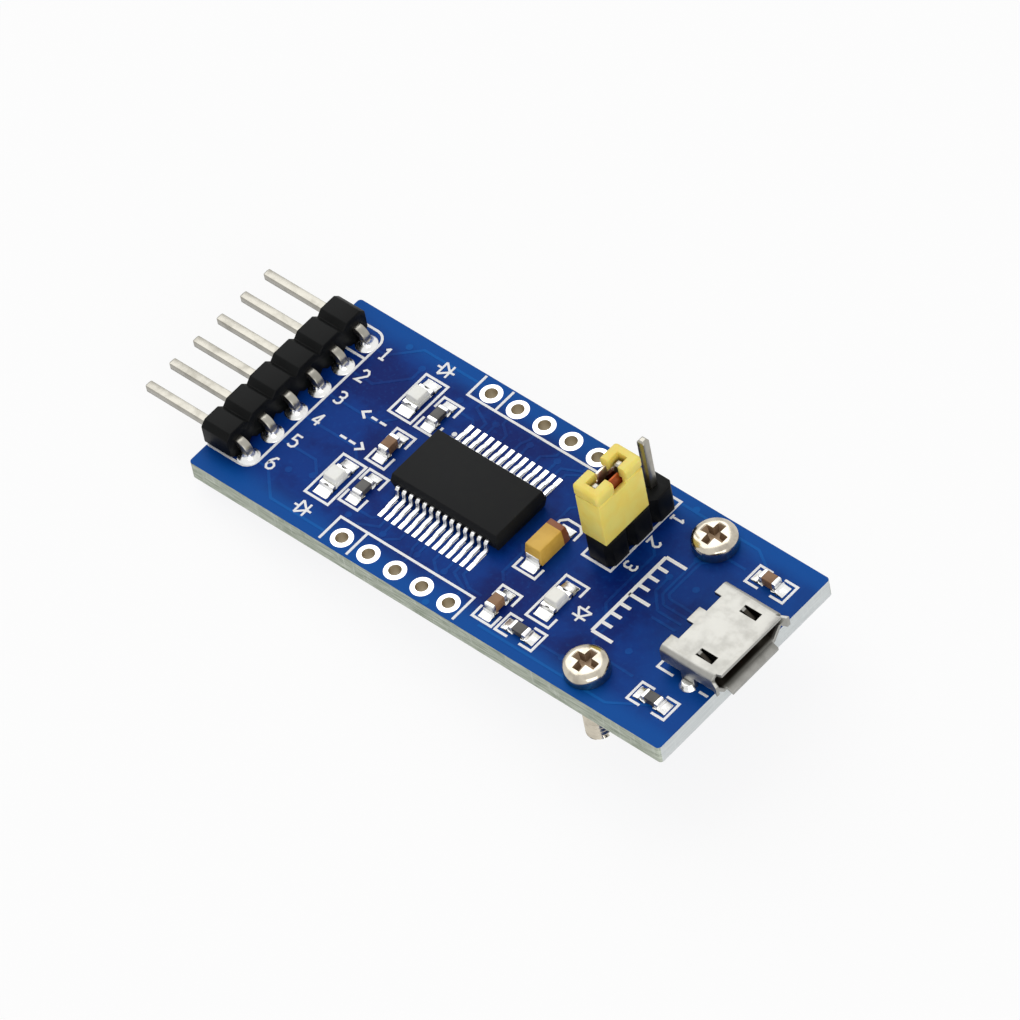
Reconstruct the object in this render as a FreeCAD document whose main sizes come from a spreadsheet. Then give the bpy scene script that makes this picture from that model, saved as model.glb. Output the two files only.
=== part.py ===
import FreeCAD, Part
import os
import re
import Sketcher

# A USB to serial adapter module at real size, in millimetres.
# +X runs along the board to the USB socket, +Y to the jumper side and +Z up.
# The origin is midway between the two mounting screws, on the underside of the board.

SIZES = {
    # Circuit board
    "board_length": "44.62",
    "board_width": "18.48",
    "board_thickness": "1.6",
    "board_corner": "0.3",
    "screw_to_edge": "8.64",
    "foil": "0.05",
    # Two rows of plated solder holes along the long edges
    "pin_pitch": "2.54",
    "row_count": "5",
    "row_start": "13.76",
    "row_inset": "1.19",
    "plated_hole": "1.0",
    "ring_size": "1.86",
    # Square pins and their sectioned housings
    "pin_side": "0.64",
    "pin_chamfer": "0.15",
    "pin_tail": "1.4",
    "housing_height": "2.54",
    "housing_groove": "0.45",
    "housing_trim": "0.2",
    "solder_size": "1.8",
    "solder_neck": "1.0",
    "solder_rise": "0.8",
    "solder_sides": "12",
    # Right-angled header at the rear edge
    "header_count": "6",
    "header_inset": "3.22",
    "header_gap": "0.71",
    "header_reach": "6.35",
    # Upright header that takes the jumper
    "select_count": "3",
    "select_to_screws": "5.75",
    "select_side": "4.5",
    "select_rise": "4.96",
    # Jumper: a moulded cap over a folded spring clip
    "cap_length": "4.8",
    "cap_width": "2.45",
    "cap_height": "5.4",
    "cap_round": "0.3",
    "collar_height": "0.95",
    "collar_step": "0.09",
    "groove_height": "0.3",
    "groove_depth": "0.08",
    "cap_floor": "0.8",
    "cap_pin_hole": "0.8",
    "cap_well_width": "1.4",
    "cap_well_length": "3.8",
    "cap_roof": "1.0",
    "cap_channel": "0.9",
    "cap_end": "0.68",
    "cap_notch_width": "1.3",
    "cap_notch_depth": "1.4",
    "clip_thickness": "0.18",
    "clip_clearance": "0.04",
    "clip_seat": "0.02",
    "clip_drop": "0.35",
    "clip_bow": "0.36",
    "clip_ear": "1.0",
    # Serial chip with gull-wing leads on both long sides
    "chip_to_screws": "17.13",
    "chip_length": "10.2",
    "chip_width": "5.3",
    "chip_height": "1.75",
    "chip_standoff": "0.1",
    "chip_draft": "0.16",
    "lead_count": "14",
    "lead_pitch": "0.65",
    "lead_width": "0.3",
    "lead_thickness": "0.15",
    "lead_span": "7.8",
    "lead_height": "0.95",
    "lead_shoulder": "0.12",
    "lead_bend": "0.1",
    "lead_pad_start": "3.2",
    "lead_pad_end": "5.05",
    "lead_pad_width": "0.36",
    # Small parts with a terminal at each end
    "chip_part_length": "1.6",
    "chip_part_width": "0.82",
    "resistor_height": "0.5",
    "capacitor_height": "0.8",
    "terminal_length": "0.34",
    "terminal_bevel": "0.08",
    "led_length": "2.0",
    "led_width": "1.25",
    "led_base_height": "0.35",
    "lens_length": "1.3",
    "lens_height": "0.45",
    "lens_draft": "0.08",
    "led_notch": "0.25",
    "tantalum_length": "3.2",
    "tantalum_width": "1.6",
    "tantalum_height": "1.6",
    "tantalum_draft": "0.1",
    "strip_width": "1.2",
    "strip_thickness": "0.12",
    "strip_under": "0.8",
    "small_pad_reach": "1.47",
    "small_pad_width": "1.05",
    "led_pad_reach": "1.82",
    "led_pad_width": "1.3",
    "tantalum_pad_reach": "2.35",
    "pad_inset": "0.45",
    "fillet_rise": "0.34",
    # Mounting screws
    "screw_spacing": "13.84",
    "screw_hole": "2.1",
    "screw_diameter": "2.0",
    "neck_diameter": "1.9",
    "screw_length": "6.8",
    "screw_tip": "0.25",
    "head_diameter": "3.5",
    "head_height": "1.35",
    "head_side": "0.75",
    "recess_span": "2.1",
    "recess_width": "0.6",
    "recess_depth": "0.75",
    # USB socket
    "usb_width": "7.4",
    "usb_height": "2.5",
    "usb_floor": "5.5",
    "usb_bevel": "1.1",
    "usb_round": "0.5",
    "usb_wall": "0.3",
    "usb_depth": "4.41",
    "usb_overhang": "0.45",
    "flare_length": "0.55",
    "flare_rise": "0.25",
    "window_length": "1.5",
    "window_width": "0.7",
    "window_side": "2.35",
    "window_back": "1.11",
    "latch_width": "0.34",
    "latch_length": "1.0",
    "latch_dip": "0.5",
    "latch_thickness": "0.2",
    "notch_inner": "0.7",
    "notch_outer": "2.3",
    "notch_depth": "0.65",
    "tab_back": "2.0",
    "tab_width": "1.2",
    "blob_size": "1.5",
    "blob_top": "0.9",
    "blob_height": "0.45",
    "block_depth": "1.1",
    "block_clearance": "0.03",
    "tongue_width": "3.9",
    "tongue_thickness": "0.6",
    "tongue_height": "1.3",
    "tongue_setback": "0.5",
    "contact_count": "5",
    "contact_pitch": "0.65",
    "contact_width": "0.26",
    "contact_thickness": "0.12",
    "contact_tail": "0.9",
    "tail_gap": "0.2",
}

# Places of the small parts on the board: distance towards the rear and to the side,
# whether the part lies across the board, and what the first distance starts from:
# the chip, for those behind it, or else the screws.
CHIP, SCREWS = "chip_to_screws", "0"
SMALL_PARTS = {
    "transmit_led": ("led", "9.07", "4.65", True, CHIP),
    "receive_led": ("led", "9.02", "-4.3", True, CHIP),
    "power_led": ("led", "5.85", "-3.5", True, SCREWS),
    "transmit_resistor": ("resistor", "6.74", "4.2", True, CHIP),
    "receive_resistor": ("resistor", "6.74", "-3.87", True, CHIP),
    "power_resistor": ("resistor", "6.12", "-7.05", False, SCREWS),
    "socket_resistor": ("resistor", "-5.53", "-6.25", False, SCREWS),
    "rear_capacitor": ("capacitor", "7.69", "0.05", True, CHIP),
    "side_capacitor": ("capacitor", "9.07", "-6.25", True, SCREWS),
    "socket_capacitor": ("capacitor", "-5.53", "6.45", False, SCREWS),
    "tantalum": ("tantalum", "9.45", "-0.3", True, SCREWS),
}
for part_name, (_, rearward, sideways, _, _) in SMALL_PARTS.items():
    SIZES[part_name + "_rearward"] = rearward
    SIZES[part_name + "_sideways"] = sideways

# Places worked out from the sizes
TOP = "board_thickness"
REAR_EDGE = "(screw_to_edge - board_length)"
ROW_LINE = "(board_width / 2 - row_inset)"
FIRST_HOLE = f"({REAR_EDGE} + row_start)"
HEADER_LINE = f"({REAR_EDGE} + header_inset)"
HEADER_START = "(-pin_pitch * (header_count - 1) / 2)"
SELECT_START = "(select_side - pin_pitch * (select_count - 1) / 2)"
JUMPER_MIDDLE = f"({SELECT_START} + pin_pitch / 2)"
PIN_HALF = "(pin_side / 2)"

doc = FreeCAD.newDocument("adapter_module")
sheet = doc.addObject("Spreadsheet::Sheet", "Sizes")
for row, (alias, text) in enumerate(SIZES.items(), start=1):
    sheet.set(f"A{row}", alias)
    sheet.set(f"B{row}", text)
    sheet.setAlias(f"B{row}", alias)
doc.recompute()
parts = []


# Working with the sheet
def bound(text):
    """The expression with each size's name pointed at its cell."""
    return re.sub(r"[a-z][a-z_]*", lambda word: ("Sizes." if word[0] in SIZES else "") + word[0], text)


def number(text):
    """The expression's present value."""
    return float(sheet.evalExpression(bound(text)))


def count(alias):
    return int(round(number(alias)))


def bind(thing, target, text):
    thing.setExpression(target, bound(text))


# Sketches and features
def new_body(name, x="0", y="0", z="0", turned=False):
    """A sub-part with its own frame at x, y, z, turned a quarter turn about Z when it lies across."""
    body = doc.addObject("PartDesign::Body", name)
    body.Label = name
    body.AllowCompound = True
    if turned:
        body.Placement = FreeCAD.Placement(FreeCAD.Vector(), FreeCAD.Rotation(FreeCAD.Vector(0, 0, 1), 90))
    for letter, text in zip("xyz", (x, y, z)):
        bind(body, "Placement.Base." + letter, text)
    return body


def origin_feature(body, role):
    return next(feature for feature in body.Origin.OriginFeatures if feature.Role == role)


def new_sketch(body, plane, name, offset="0"):
    """An empty sketch on one of the body's planes, moved along its normal by offset."""
    sketch = body.newObject("Sketcher::SketchObject", name)
    sketch.AttachmentSupport = [(origin_feature(body, plane), "")]
    sketch.MapMode = "FlatFace"
    bind(sketch, "AttachmentOffset.Base.z", offset)
    return sketch


def pin_point(sketch, geometry, end, x, y):
    """Holds one point of the sketch at x, y."""
    for kind, text in (("DistanceX", x), ("DistanceY", y)):
        index = sketch.addConstraint(Sketcher.Constraint(kind, -1, 1, geometry, end, number(text)))
        bind(sketch, f"Constraints[{index}]", text)


def outline(sketch, corners):
    """A closed loop through corners (x, y) or (x, y, radius), where radius makes the side that
    ends there an arc: positive swings it out to the right of the way along, negative to the left."""
    points = [FreeCAD.Vector(number(corner[0]), number(corner[1]), 0) for corner in corners]
    sides = []
    for index, corner in enumerate(corners):
        start, stop = points[index - 1], points[index]
        if len(corner) == 2:
            geometry = sketch.addGeometry(Part.LineSegment(start, stop))
        else:
            radius = number(corner[2])
            chord = stop - start
            sagitta = abs(radius) - (radius**2 - chord.Length**2 / 4) ** 0.5
            across = FreeCAD.Vector(chord.y, -chord.x, 0).normalize()
            middle = (start + stop) / 2 + across * sagitta * (1 if radius > 0 else -1)
            geometry = sketch.addGeometry(Part.Arc(start, middle, stop))
            pinned = sketch.addConstraint(Sketcher.Constraint("Radius", geometry, abs(radius)))
            bind(sketch, f"Constraints[{pinned}]", f"abs({corner[2]})")
        forward = (sketch.getPoint(geometry, 1) - start).Length < (sketch.getPoint(geometry, 2) - start).Length
        sides.append((geometry, 1 if forward else 2, 2 if forward else 1))
    for index, (geometry, first, last) in enumerate(sides):
        following = sides[(index + 1) % len(sides)]
        sketch.addConstraint(Sketcher.Constraint("Coincident", geometry, last, following[0], following[1]))
        pin_point(sketch, geometry, last, corners[index][0], corners[index][1])


def rectangle(sketch, low_x, high_x, low_y, high_y):
    outline(sketch, [(low_x, low_y), (high_x, low_y), (high_x, high_y), (low_x, high_y)])


def centred(sketch, length, width, x="0", y="0"):
    half_x, half_y = f"({length}) / 2", f"({width}) / 2"
    rectangle(sketch, f"{x} - {half_x}", f"{x} + {half_x}", f"{y} - {half_y}", f"{y} + {half_y}")


def circle(sketch, x, y, diameter):
    centre = FreeCAD.Vector(number(x), number(y), 0)
    geometry = sketch.addGeometry(Part.Circle(centre, FreeCAD.Vector(0, 0, 1), number(diameter) / 2))
    pin_point(sketch, geometry, 3, x, y)
    index = sketch.addConstraint(Sketcher.Constraint("Diameter", geometry, number(diameter)))
    bind(sketch, f"Constraints[{index}]", diameter)


def pad(body, sketch, length, middle=False, backwards=False, draw_in=None):
    """Thickens a sketch. draw_in is how far the far end is drawn in by a mould's draft."""
    feature = body.newObject("PartDesign::Pad", sketch.Name + "_pad")
    feature.Profile = sketch
    feature.Midplane = middle
    feature.Reversed = backwards
    bind(feature, "Length", length)
    if draw_in:
        bind(feature, "TaperAngle", f"-atan({draw_in} / ({length}))")
    return feature


def pocket(body, sketch, depth=None, upwards=False):
    """Cuts a sketch through everything both ways, or to a depth."""
    feature = body.newObject("PartDesign::Pocket", sketch.Name + "_cut")
    feature.Profile = sketch
    if depth:
        feature.Reversed = upwards
        bind(feature, "Length", depth)
    else:
        feature.Type = "ThroughAll"
        feature.Midplane = True
    return feature


def spin(body, sketch):
    """Turns a sketch round its own upright axis."""
    feature = body.newObject("PartDesign::Revolution", sketch.Name + "_spin")
    feature.Profile = sketch
    feature.ReferenceAxis = (sketch, ["V_Axis"])
    feature.Angle = 360
    return feature


def repeat(body, features, rows=None, mirror=None):
    """Copies features along an axis, across a plane, or both. rows is (axis, pitch, count)."""
    group = body.newObject("PartDesign::MultiTransform", body.Name + "_copies" + str(len(body.Group)))
    group.Originals = features
    steps = []
    if rows:
        axis, pitch, how_many = rows
        line = doc.addObject("PartDesign::LinearPattern", group.Name + "_row")
        line.Direction = (origin_feature(body, axis), [""])
        bind(line, "Length", f"{pitch} * ({how_many} - 1)")
        bind(line, "Occurrences", how_many)
        steps.append(line)
    if mirror:
        glass = doc.addObject("PartDesign::Mirrored", group.Name + "_mirror")
        glass.MirrorPlane = (origin_feature(body, mirror), [""])
        steps.append(glass)
    group.Transformations = steps
    body.Tip = group
    return group


def edges_where(feature, wanted):
    """Names of a feature's edges whose middle point passes a test."""
    doc.recompute()
    names = []
    for index, edge in enumerate(feature.Shape.Edges, start=1):
        middle = edge.valueAt((edge.FirstParameter + edge.LastParameter) / 2)
        if wanted(middle, edge):
            names.append(f"Edge{index}")
    return names


def ease(body, feature, kind, size, wanted):
    """Rounds or chamfers the edges that pass a test."""
    eased = body.newObject("PartDesign::" + kind, f"{body.Name}_{kind.lower()}{len(body.Group)}")
    eased.Base = (feature, edges_where(feature, wanted))
    if kind == "Fillet":
        bind(eased, "Radius", size)
    else:
        bind(eased, "Size", size)
    return eased


def level(value, target):
    return abs(value - target) < 1e-4


def keep(thing):
    parts.append(thing)
    return thing


# The bare board: a glass-fibre sheet with its holes. Those that its own pins fill are as square
# as the pins,
# and the open ones in two rows have a thin tinned land on each face.
def circuit_board():
    body = new_body("circuit_board")
    sheet_edge = new_sketch(body, "XY_Plane", "board_outline")
    half = "board_width / 2"
    rear, front = REAR_EDGE, "screw_to_edge"
    near = f"{half} - board_corner"
    outline(
        sheet_edge,
        [
            (f"{rear} + board_corner", f"-({half})", "board_corner"),
            (f"{front} - board_corner", f"-({half})"),
            (front, f"-({near})", "board_corner"),
            (front, near),
            (f"{front} - board_corner", half, "board_corner"),
            (f"{rear} + board_corner", half),
            (rear, near, "board_corner"),
            (rear, f"-({near})"),
        ],
    )
    pad(body, sheet_edge, "board_thickness")
    holes = new_sketch(body, "XY_Plane", "board_holes")
    for index in range(count("row_count")):
        for side in ("", "-"):
            circle(holes, f"{FIRST_HOLE} + {index} * pin_pitch", side + ROW_LINE, "plated_hole")
    for index in range(count("header_count")):
        centred(holes, "pin_side", "pin_side", HEADER_LINE, f"{HEADER_START} + {index} * pin_pitch")
    for index in range(count("select_count")):
        centred(holes, "pin_side", "pin_side", "-select_to_screws", f"{SELECT_START} + {index} * pin_pitch")
    for side in ("", "-"):
        circle(holes, "0", side + "screw_spacing / 2", "screw_hole")
    pocket(body, holes)
    land = new_sketch(body, "XZ_Plane", "land_profile", offset=ROW_LINE)
    bind(land, "AttachmentOffset.Base.x", FIRST_HOLE)
    inner, rim = "plated_hole / 2", "ring_size / 2"
    outline(land, [(inner, "-foil"), (rim, "0"), (rim, TOP), (inner, f"{TOP} + foil")])
    ring = spin(body, land)
    repeat(body, [ring], rows=("X_Axis", "pin_pitch", "row_count"), mirror="XZ_Plane")
    return keep(body)


# Solder joints: many-sided cones that narrow up or down a square pin from either face of the board.
# The header's upper ones rise to where its pins begin to bend, and stop at the face of its housing.
BEND_START = "(housing_height / 2 - header_gap)"


def many_sided(sketch, diameter, sides):
    """A regular outline with a corner on the sketch's own X axis."""
    corners = []
    for index in range(count(sides)):
        angle = f"(360 deg * {index} / {sides})"
        corners.append((f"{diameter} / 2 * cos({angle})", f"{diameter} / 2 * sin({angle})"))
    outline(sketch, corners)


def pin_solder(name, x, first, how_many, both_faces):
    body = new_body(name, x=x, y=first)
    steps = []
    faces = [("lower", "0", "solder_rise", True)]
    if both_faces:
        faces.append(("upper", TOP, BEND_START, False))
    for side, start, rise, downwards in faces:
        base = new_sketch(body, "XY_Plane", f"{name}_{side}", offset=start)
        many_sided(base, "solder_size", "solder_sides")
        cone = pad(body, base, rise, backwards=downwards)
        far = number(f"{start} - {rise}" if downwards else f"{start} + {rise}")
        slope = ease(body, cone, "Chamfer", f"{rise} - foil", lambda p, e: level(p.z, far))
        slope.ChamferType = "Two distances"
        bind(slope, "Size2", "(solder_size - solder_neck) / 2")
        steps += [cone, slope]
    square = new_sketch(body, "XY_Plane", name + "_square")
    centred(square, "pin_side", "pin_side")
    steps.append(pocket(body, square))
    if both_faces:
        seat = new_sketch(body, "XY_Plane", name + "_seat", offset=TOP)
        rectangle(seat, "-solder_size", "-header_gap", "-solder_size", "solder_size")
        steps.append(pocket(body, seat, BEND_START, upwards=True))
    repeat(body, steps, rows=("Y_Axis", "pin_pitch", how_many))
    return keep(body)


# Moulded housing made of equal sections with a groove between each pair
def sectioned_outline(sketch, how_many, swap):
    reach = f"({how_many} * pin_pitch / 2 - housing_trim)"
    groove, full = "housing_groove", "housing_height"
    low = [(f"-{reach}", groove), (f"-{reach} + {groove}", "0")]
    for index in range(1, count(how_many)):
        seam = f"(({index}) - {how_many} / 2) * pin_pitch"
        low += [(f"{seam} - {groove}", "0"), (seam, groove), (f"{seam} + {groove}", "0")]
    low += [(f"{reach} - {groove}", "0"), (reach, groove)]
    corners = low + [(along, f"{full} - ({across})") for along, across in reversed(low)]
    if swap:
        corners = [(f"{across} - {full} / 2", along) for along, across in reversed(corners)]
    outline(sketch, corners)


def header_housing():
    body = new_body("header_housing", x=f"{HEADER_LINE} - header_gap", z=TOP)
    face = new_sketch(body, "YZ_Plane", "header_face")
    sectioned_outline(face, "header_count", swap=False)
    pad(body, face, "housing_height", backwards=True)
    holes = new_sketch(body, "YZ_Plane", "header_pin_holes")
    for index in range(count("header_count")):
        centred(holes, "pin_side", "pin_side", f"{HEADER_START} + {index} * pin_pitch", "housing_height / 2")
    pocket(body, holes)
    return keep(body)


# Right-angled pins: straight out over the rear edge, and bent down through the board
def header_pin(index):
    body = new_body(f"header_pin_{index + 1}", x=HEADER_LINE, y=f"{HEADER_START} + {index} * pin_pitch", z=TOP)
    side = new_sketch(body, "XZ_Plane", f"header_pin_side_{index + 1}")
    middle = "housing_height / 2"
    tip = "-(header_gap + housing_height + header_reach)"
    foot = "-(board_thickness + pin_tail)"
    outline(
        side,
        [
            (tip, f"{middle} - {PIN_HALF}"),
            ("-header_gap", f"{middle} - {PIN_HALF}"),
            (f"-{PIN_HALF}", f"{middle} - header_gap", f"-(header_gap - {PIN_HALF})"),
            (f"-{PIN_HALF}", foot),
            (PIN_HALF, foot),
            (PIN_HALF, f"{middle} - header_gap"),
            ("-header_gap", f"{middle} + {PIN_HALF}", f"header_gap + {PIN_HALF}"),
            (tip, f"{middle} + {PIN_HALF}"),
        ],
    )
    bar = pad(body, side, "pin_side", middle=True)
    end, low = number(tip), number(foot)
    ease(body, bar, "Chamfer", "pin_chamfer", lambda p, e: level(p.x, end) or level(p.z, low))
    return keep(body)


def select_housing():
    body = new_body("select_housing", x="-select_to_screws", y="select_side", z=TOP)
    plan = new_sketch(body, "XY_Plane", "select_plan")
    sectioned_outline(plan, "select_count", swap=True)
    pad(body, plan, "housing_height")
    holes = new_sketch(body, "XY_Plane", "select_pin_holes")
    for index in range(count("select_count")):
        centred(holes, "pin_side", "pin_side", "0", f"{SELECT_START} - select_side + {index} * pin_pitch")
    pocket(body, holes)
    return keep(body)


# Straight pins of the upright header
def select_pin(index):
    where = f"{SELECT_START} + {index} * pin_pitch"
    body = new_body(f"select_pin_{index + 1}", x="-select_to_screws", y=where, z="-pin_tail")
    square = new_sketch(body, "XY_Plane", f"select_pin_square_{index + 1}")
    centred(square, "pin_side", "pin_side")
    length = "pin_tail + board_thickness + housing_height + select_rise"
    bar = pad(body, square, length)
    high = number(length)
    ease(body, bar, "Chamfer", "pin_chamfer", lambda p, e: level(p.z, 0) or level(p.z, high))
    return keep(body)


# Jumper cap: a collar round its top over a shallow groove, two pin holes in its floor,
# a well for the clip above them, a channel in its roof and a notch across both side walls
def jumper_cap():
    body = new_body("jumper_cap", x="-select_to_screws", y=JUMPER_MIDDLE, z=f"{TOP} + housing_height")
    groove_top = "cap_height - collar_height"
    for name, start, length, step in (
        ("cap_skirt", "0", f"{groove_top} - groove_height", "collar_step"),
        ("cap_groove", f"{groove_top} - groove_height", "groove_height", "(collar_step + groove_depth)"),
        ("cap_collar", groove_top, "collar_height", "0"),
    ):
        plan = new_sketch(body, "XY_Plane", name, offset=start)
        centred(plan, f"cap_width - 2 * {step}", f"cap_length - 2 * {step}")
        collar = pad(body, plan, length)
    low, high = number(groove_top), number("cap_height")
    ease(body, collar, "Fillet", "cap_round", lambda p, e: p.z > low + 1e-3)
    well = new_sketch(body, "XY_Plane", "cap_well", offset="cap_height - cap_roof")
    centred(well, "cap_well_width", "cap_well_length")
    pocket(body, well, "cap_height - cap_roof - cap_floor")
    channel = new_sketch(body, "XY_Plane", "cap_roof_channel", offset="cap_height")
    centred(channel, "cap_channel", "cap_length - 2 * cap_end")
    pocket(body, channel, "cap_roof * 1.1")
    holes = new_sketch(body, "XY_Plane", "cap_pin_holes")
    for side in ("", "-"):
        centred(holes, "cap_pin_hole", "cap_pin_hole", "0", side + "pin_pitch / 2")
    pocket(body, holes)
    notch = new_sketch(body, "YZ_Plane", "cap_notch_face")
    rectangle(notch, "-cap_notch_width / 2", "cap_notch_width / 2", "cap_height - cap_notch_depth", "cap_height")
    pocket(body, notch)
    return keep(body)


# Spring clip: a strip folded round both pins and bowed in to each of them, with an ear on
# each side that stands in the cap's notch
def jumper_clip():
    body = new_body(
        "jumper_clip",
        x="-select_to_screws",
        y=JUMPER_MIDDLE,
        z=f"{TOP} + housing_height + cap_floor",
    )
    pin = "(pin_pitch / 2)"
    strip_top = "(cap_height - cap_roof - cap_floor - clip_clearance)"

    def loop(sketch, inset):
        """The strip's line round the pins, drawn in by inset."""
        wide = f"(cap_well_width / 2 - clip_seat - {inset})"
        narrow = f"(pin_side / 2 + clip_clearance + clip_thickness - {inset})"
        end = f"(cap_well_length / 2 - clip_seat - {inset})"
        half = [
            (f"({pin} - clip_bow)", wide),
            (f"({pin} - clip_bow / 2)", narrow),
            (f"({pin} + clip_bow / 2)", narrow),
            (f"({pin} + clip_bow)", wide),
            (end, wide),
        ]
        front = [(across, along) for along, across in half]
        rear = [("-" + across, along) for along, across in reversed(half)]
        far = [("-" + across, "-" + along) for along, across in half]
        near = [(across, "-" + along) for along, across in reversed(half)]
        outline(sketch, front + rear + far + near)

    plan = new_sketch(body, "XY_Plane", "clip_plan")
    loop(plan, "0")
    loop(plan, "clip_thickness")
    pad(body, plan, strip_top)
    ears = new_sketch(body, "XY_Plane", "clip_ears", offset=strip_top)
    for side in ("", "-"):
        centred(ears, "clip_thickness", "clip_ear", side + "(cap_well_width / 2 - clip_seat - clip_thickness / 2)")
    pad(body, ears, f"cap_height - cap_floor - clip_drop - {strip_top}")
    return keep(body)


# Chip body: a mould's parting band at the leads, drawn in above and below it
def serial_chip():
    body = new_body("serial_chip", x="-chip_to_screws", z=TOP)
    low = "lead_height - lead_thickness / 2"
    high = "lead_height + lead_thickness / 2"
    for name, start, length, backwards, draft in (
        ("chip_band", low, "lead_thickness", False, None),
        ("chip_upper", high, f"chip_height - ({high})", False, "chip_draft"),
        ("chip_lower", low, f"{low} - chip_standoff", True, "chip_draft"),
    ):
        plan = new_sketch(body, "XY_Plane", name, offset=start)
        centred(plan, "chip_length", "chip_width")
        pad(body, plan, length, backwards=backwards, draw_in=draft)
    return keep(body)


# Gull-wing leads: out of the band, down through two bends, and flat on their pads
def chip_leads():
    start = "-lead_pitch * (lead_count - 1) / 2"
    body = new_body("chip_leads", x="-chip_to_screws", z=TOP)
    side = new_sketch(body, "YZ_Plane", "lead_side", offset=start)
    root, tip = "chip_width / 2", "lead_span / 2"
    high, low = "(lead_height + lead_thickness / 2)", "(lead_height - lead_thickness / 2)"
    knee = f"({root} + lead_shoulder)"
    inner, outer = f"({knee} + lead_bend)", f"({knee} + lead_bend + lead_thickness)"
    turn = "(lead_bend + lead_thickness / 2)"
    foot = "(foil + lead_thickness)"
    outline(
        side,
        [
            (root, low),
            (knee, low),
            (inner, f"{low} - lead_bend"),
            (inner, f"foil + {turn}"),
            (f"{inner} + {turn}", "foil"),
            (tip, "foil"),
            (tip, foot),
            (f"{outer} + lead_bend", foot),
            (outer, f"{foot} + lead_bend"),
            (outer, f"{high} - {turn}"),
            (f"{outer} - {turn}", high),
            (root, high),
        ],
    )
    lead = pad(body, side, "lead_width", middle=True)
    repeat(body, [lead], rows=("X_Axis", "lead_pitch", "lead_count"), mirror="XZ_Plane")
    return keep(body)


# Long tinned pads that the leads stand on
def chip_pads():
    body = new_body("chip_pads", x="-chip_to_screws", z=TOP)
    plan = new_sketch(body, "XY_Plane", "lead_pad_plan")
    middle = "-lead_pitch * (lead_count - 1) / 2"
    rectangle(
        plan,
        f"{middle} - lead_pad_width / 2",
        f"{middle} + lead_pad_width / 2",
        "lead_pad_start",
        "lead_pad_end",
    )
    plate = pad(body, plan, "foil")
    repeat(body, [plate], rows=("X_Axis", "lead_pitch", "lead_count"), mirror="XZ_Plane")
    return keep(body)


# Small parts lie along their own X, with a terminal at each end
def part_line(name):
    """The small part's place along the board."""
    return f"-({SMALL_PARTS[name][4]} + {name}_rearward)"


def placed_part(name, suffix):
    across = SMALL_PARTS[name][3]
    return new_body(
        f"{name}_{suffix}",
        x=part_line(name),
        y=f"{name}_sideways",
        z=f"{TOP} + foil",
        turned=across,
    )


def chip_part(name, height):
    core = placed_part(name, "body")
    plan = new_sketch(core, "XY_Plane", name + "_core")
    centred(plan, "chip_part_length - 2 * terminal_length", "chip_part_width")
    pad(core, plan, height)
    keep(core)
    ends = placed_part(name, "terminals")
    face = new_sketch(ends, "YZ_Plane", name + "_end", offset="chip_part_length / 2 - terminal_length")
    rectangle(face, "-chip_part_width / 2", "chip_part_width / 2", "0", height)
    block = pad(ends, face, "terminal_length")
    tip = number("chip_part_length / 2")
    bevelled = ease(ends, block, "Chamfer", "terminal_bevel", lambda p, e: level(abs(p.x), tip) and p.z > 1e-3)
    repeat(ends, [block, bevelled], mirror="YZ_Plane")
    keep(ends)


# Light-emitting parts: a white base between notched terminals, under a clear lens
def led(name):
    base = placed_part(name, "base")
    plan = new_sketch(base, "XY_Plane", name + "_base_plan")
    centred(plan, "led_length - 2 * terminal_length", "led_width")
    pad(base, plan, "led_base_height")
    keep(base)
    ends = placed_part(name, "terminals")
    plan = new_sketch(ends, "XY_Plane", name + "_end_plan")
    root, tip, half = "(led_length / 2 - terminal_length)", "led_length / 2", "led_width / 2"
    outline(
        plan,
        [
            (root, f"-{half}"),
            (tip, f"-{half}"),
            (tip, "-led_notch"),
            (f"{tip} - led_notch / 2", "-led_notch / 2"),
            (f"{tip} - led_notch / 2", "led_notch / 2"),
            (tip, "led_notch"),
            (tip, half),
            (root, half),
        ],
    )
    block = pad(ends, plan, "led_base_height")
    repeat(ends, [block], mirror="YZ_Plane")
    keep(ends)
    lens = placed_part(name, "lens")
    plan = new_sketch(lens, "XY_Plane", name + "_lens_plan", offset="led_base_height")
    centred(plan, "lens_length", "led_width")
    pad(lens, plan, "lens_height", draw_in="lens_draft")
    keep(lens)


# Moulded tantalum capacitor on two strips folded under its ends
def tantalum():
    block = placed_part("tantalum", "body")
    plan = new_sketch(block, "XY_Plane", "tantalum_waist", offset="tantalum_height / 2")
    long_side = "tantalum_length - 2 * strip_thickness"
    centred(plan, f"({long_side})", "tantalum_width")
    pad(block, plan, "tantalum_height / 2", draw_in="tantalum_draft")
    lower = new_sketch(block, "XY_Plane", "tantalum_lower", offset="strip_thickness")
    centred(lower, f"({long_side})", "tantalum_width")
    pad(block, lower, "tantalum_height / 2 - strip_thickness")
    keep(block)
    strips = placed_part("tantalum", "terminals")
    side = new_sketch(strips, "XZ_Plane", "tantalum_strip")
    tip = "tantalum_length / 2"
    outline(
        side,
        [
            (f"{tip} - strip_under", "0"),
            (tip, "0"),
            (tip, "tantalum_height / 2"),
            (f"{tip} - strip_thickness", "tantalum_height / 2"),
            (f"{tip} - strip_thickness", "strip_thickness"),
            (f"{tip} - strip_under", "strip_thickness"),
        ],
    )
    strip = pad(strips, side, "strip_width", middle=True)
    repeat(strips, [strip], mirror="YZ_Plane")
    keep(strips)


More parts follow.
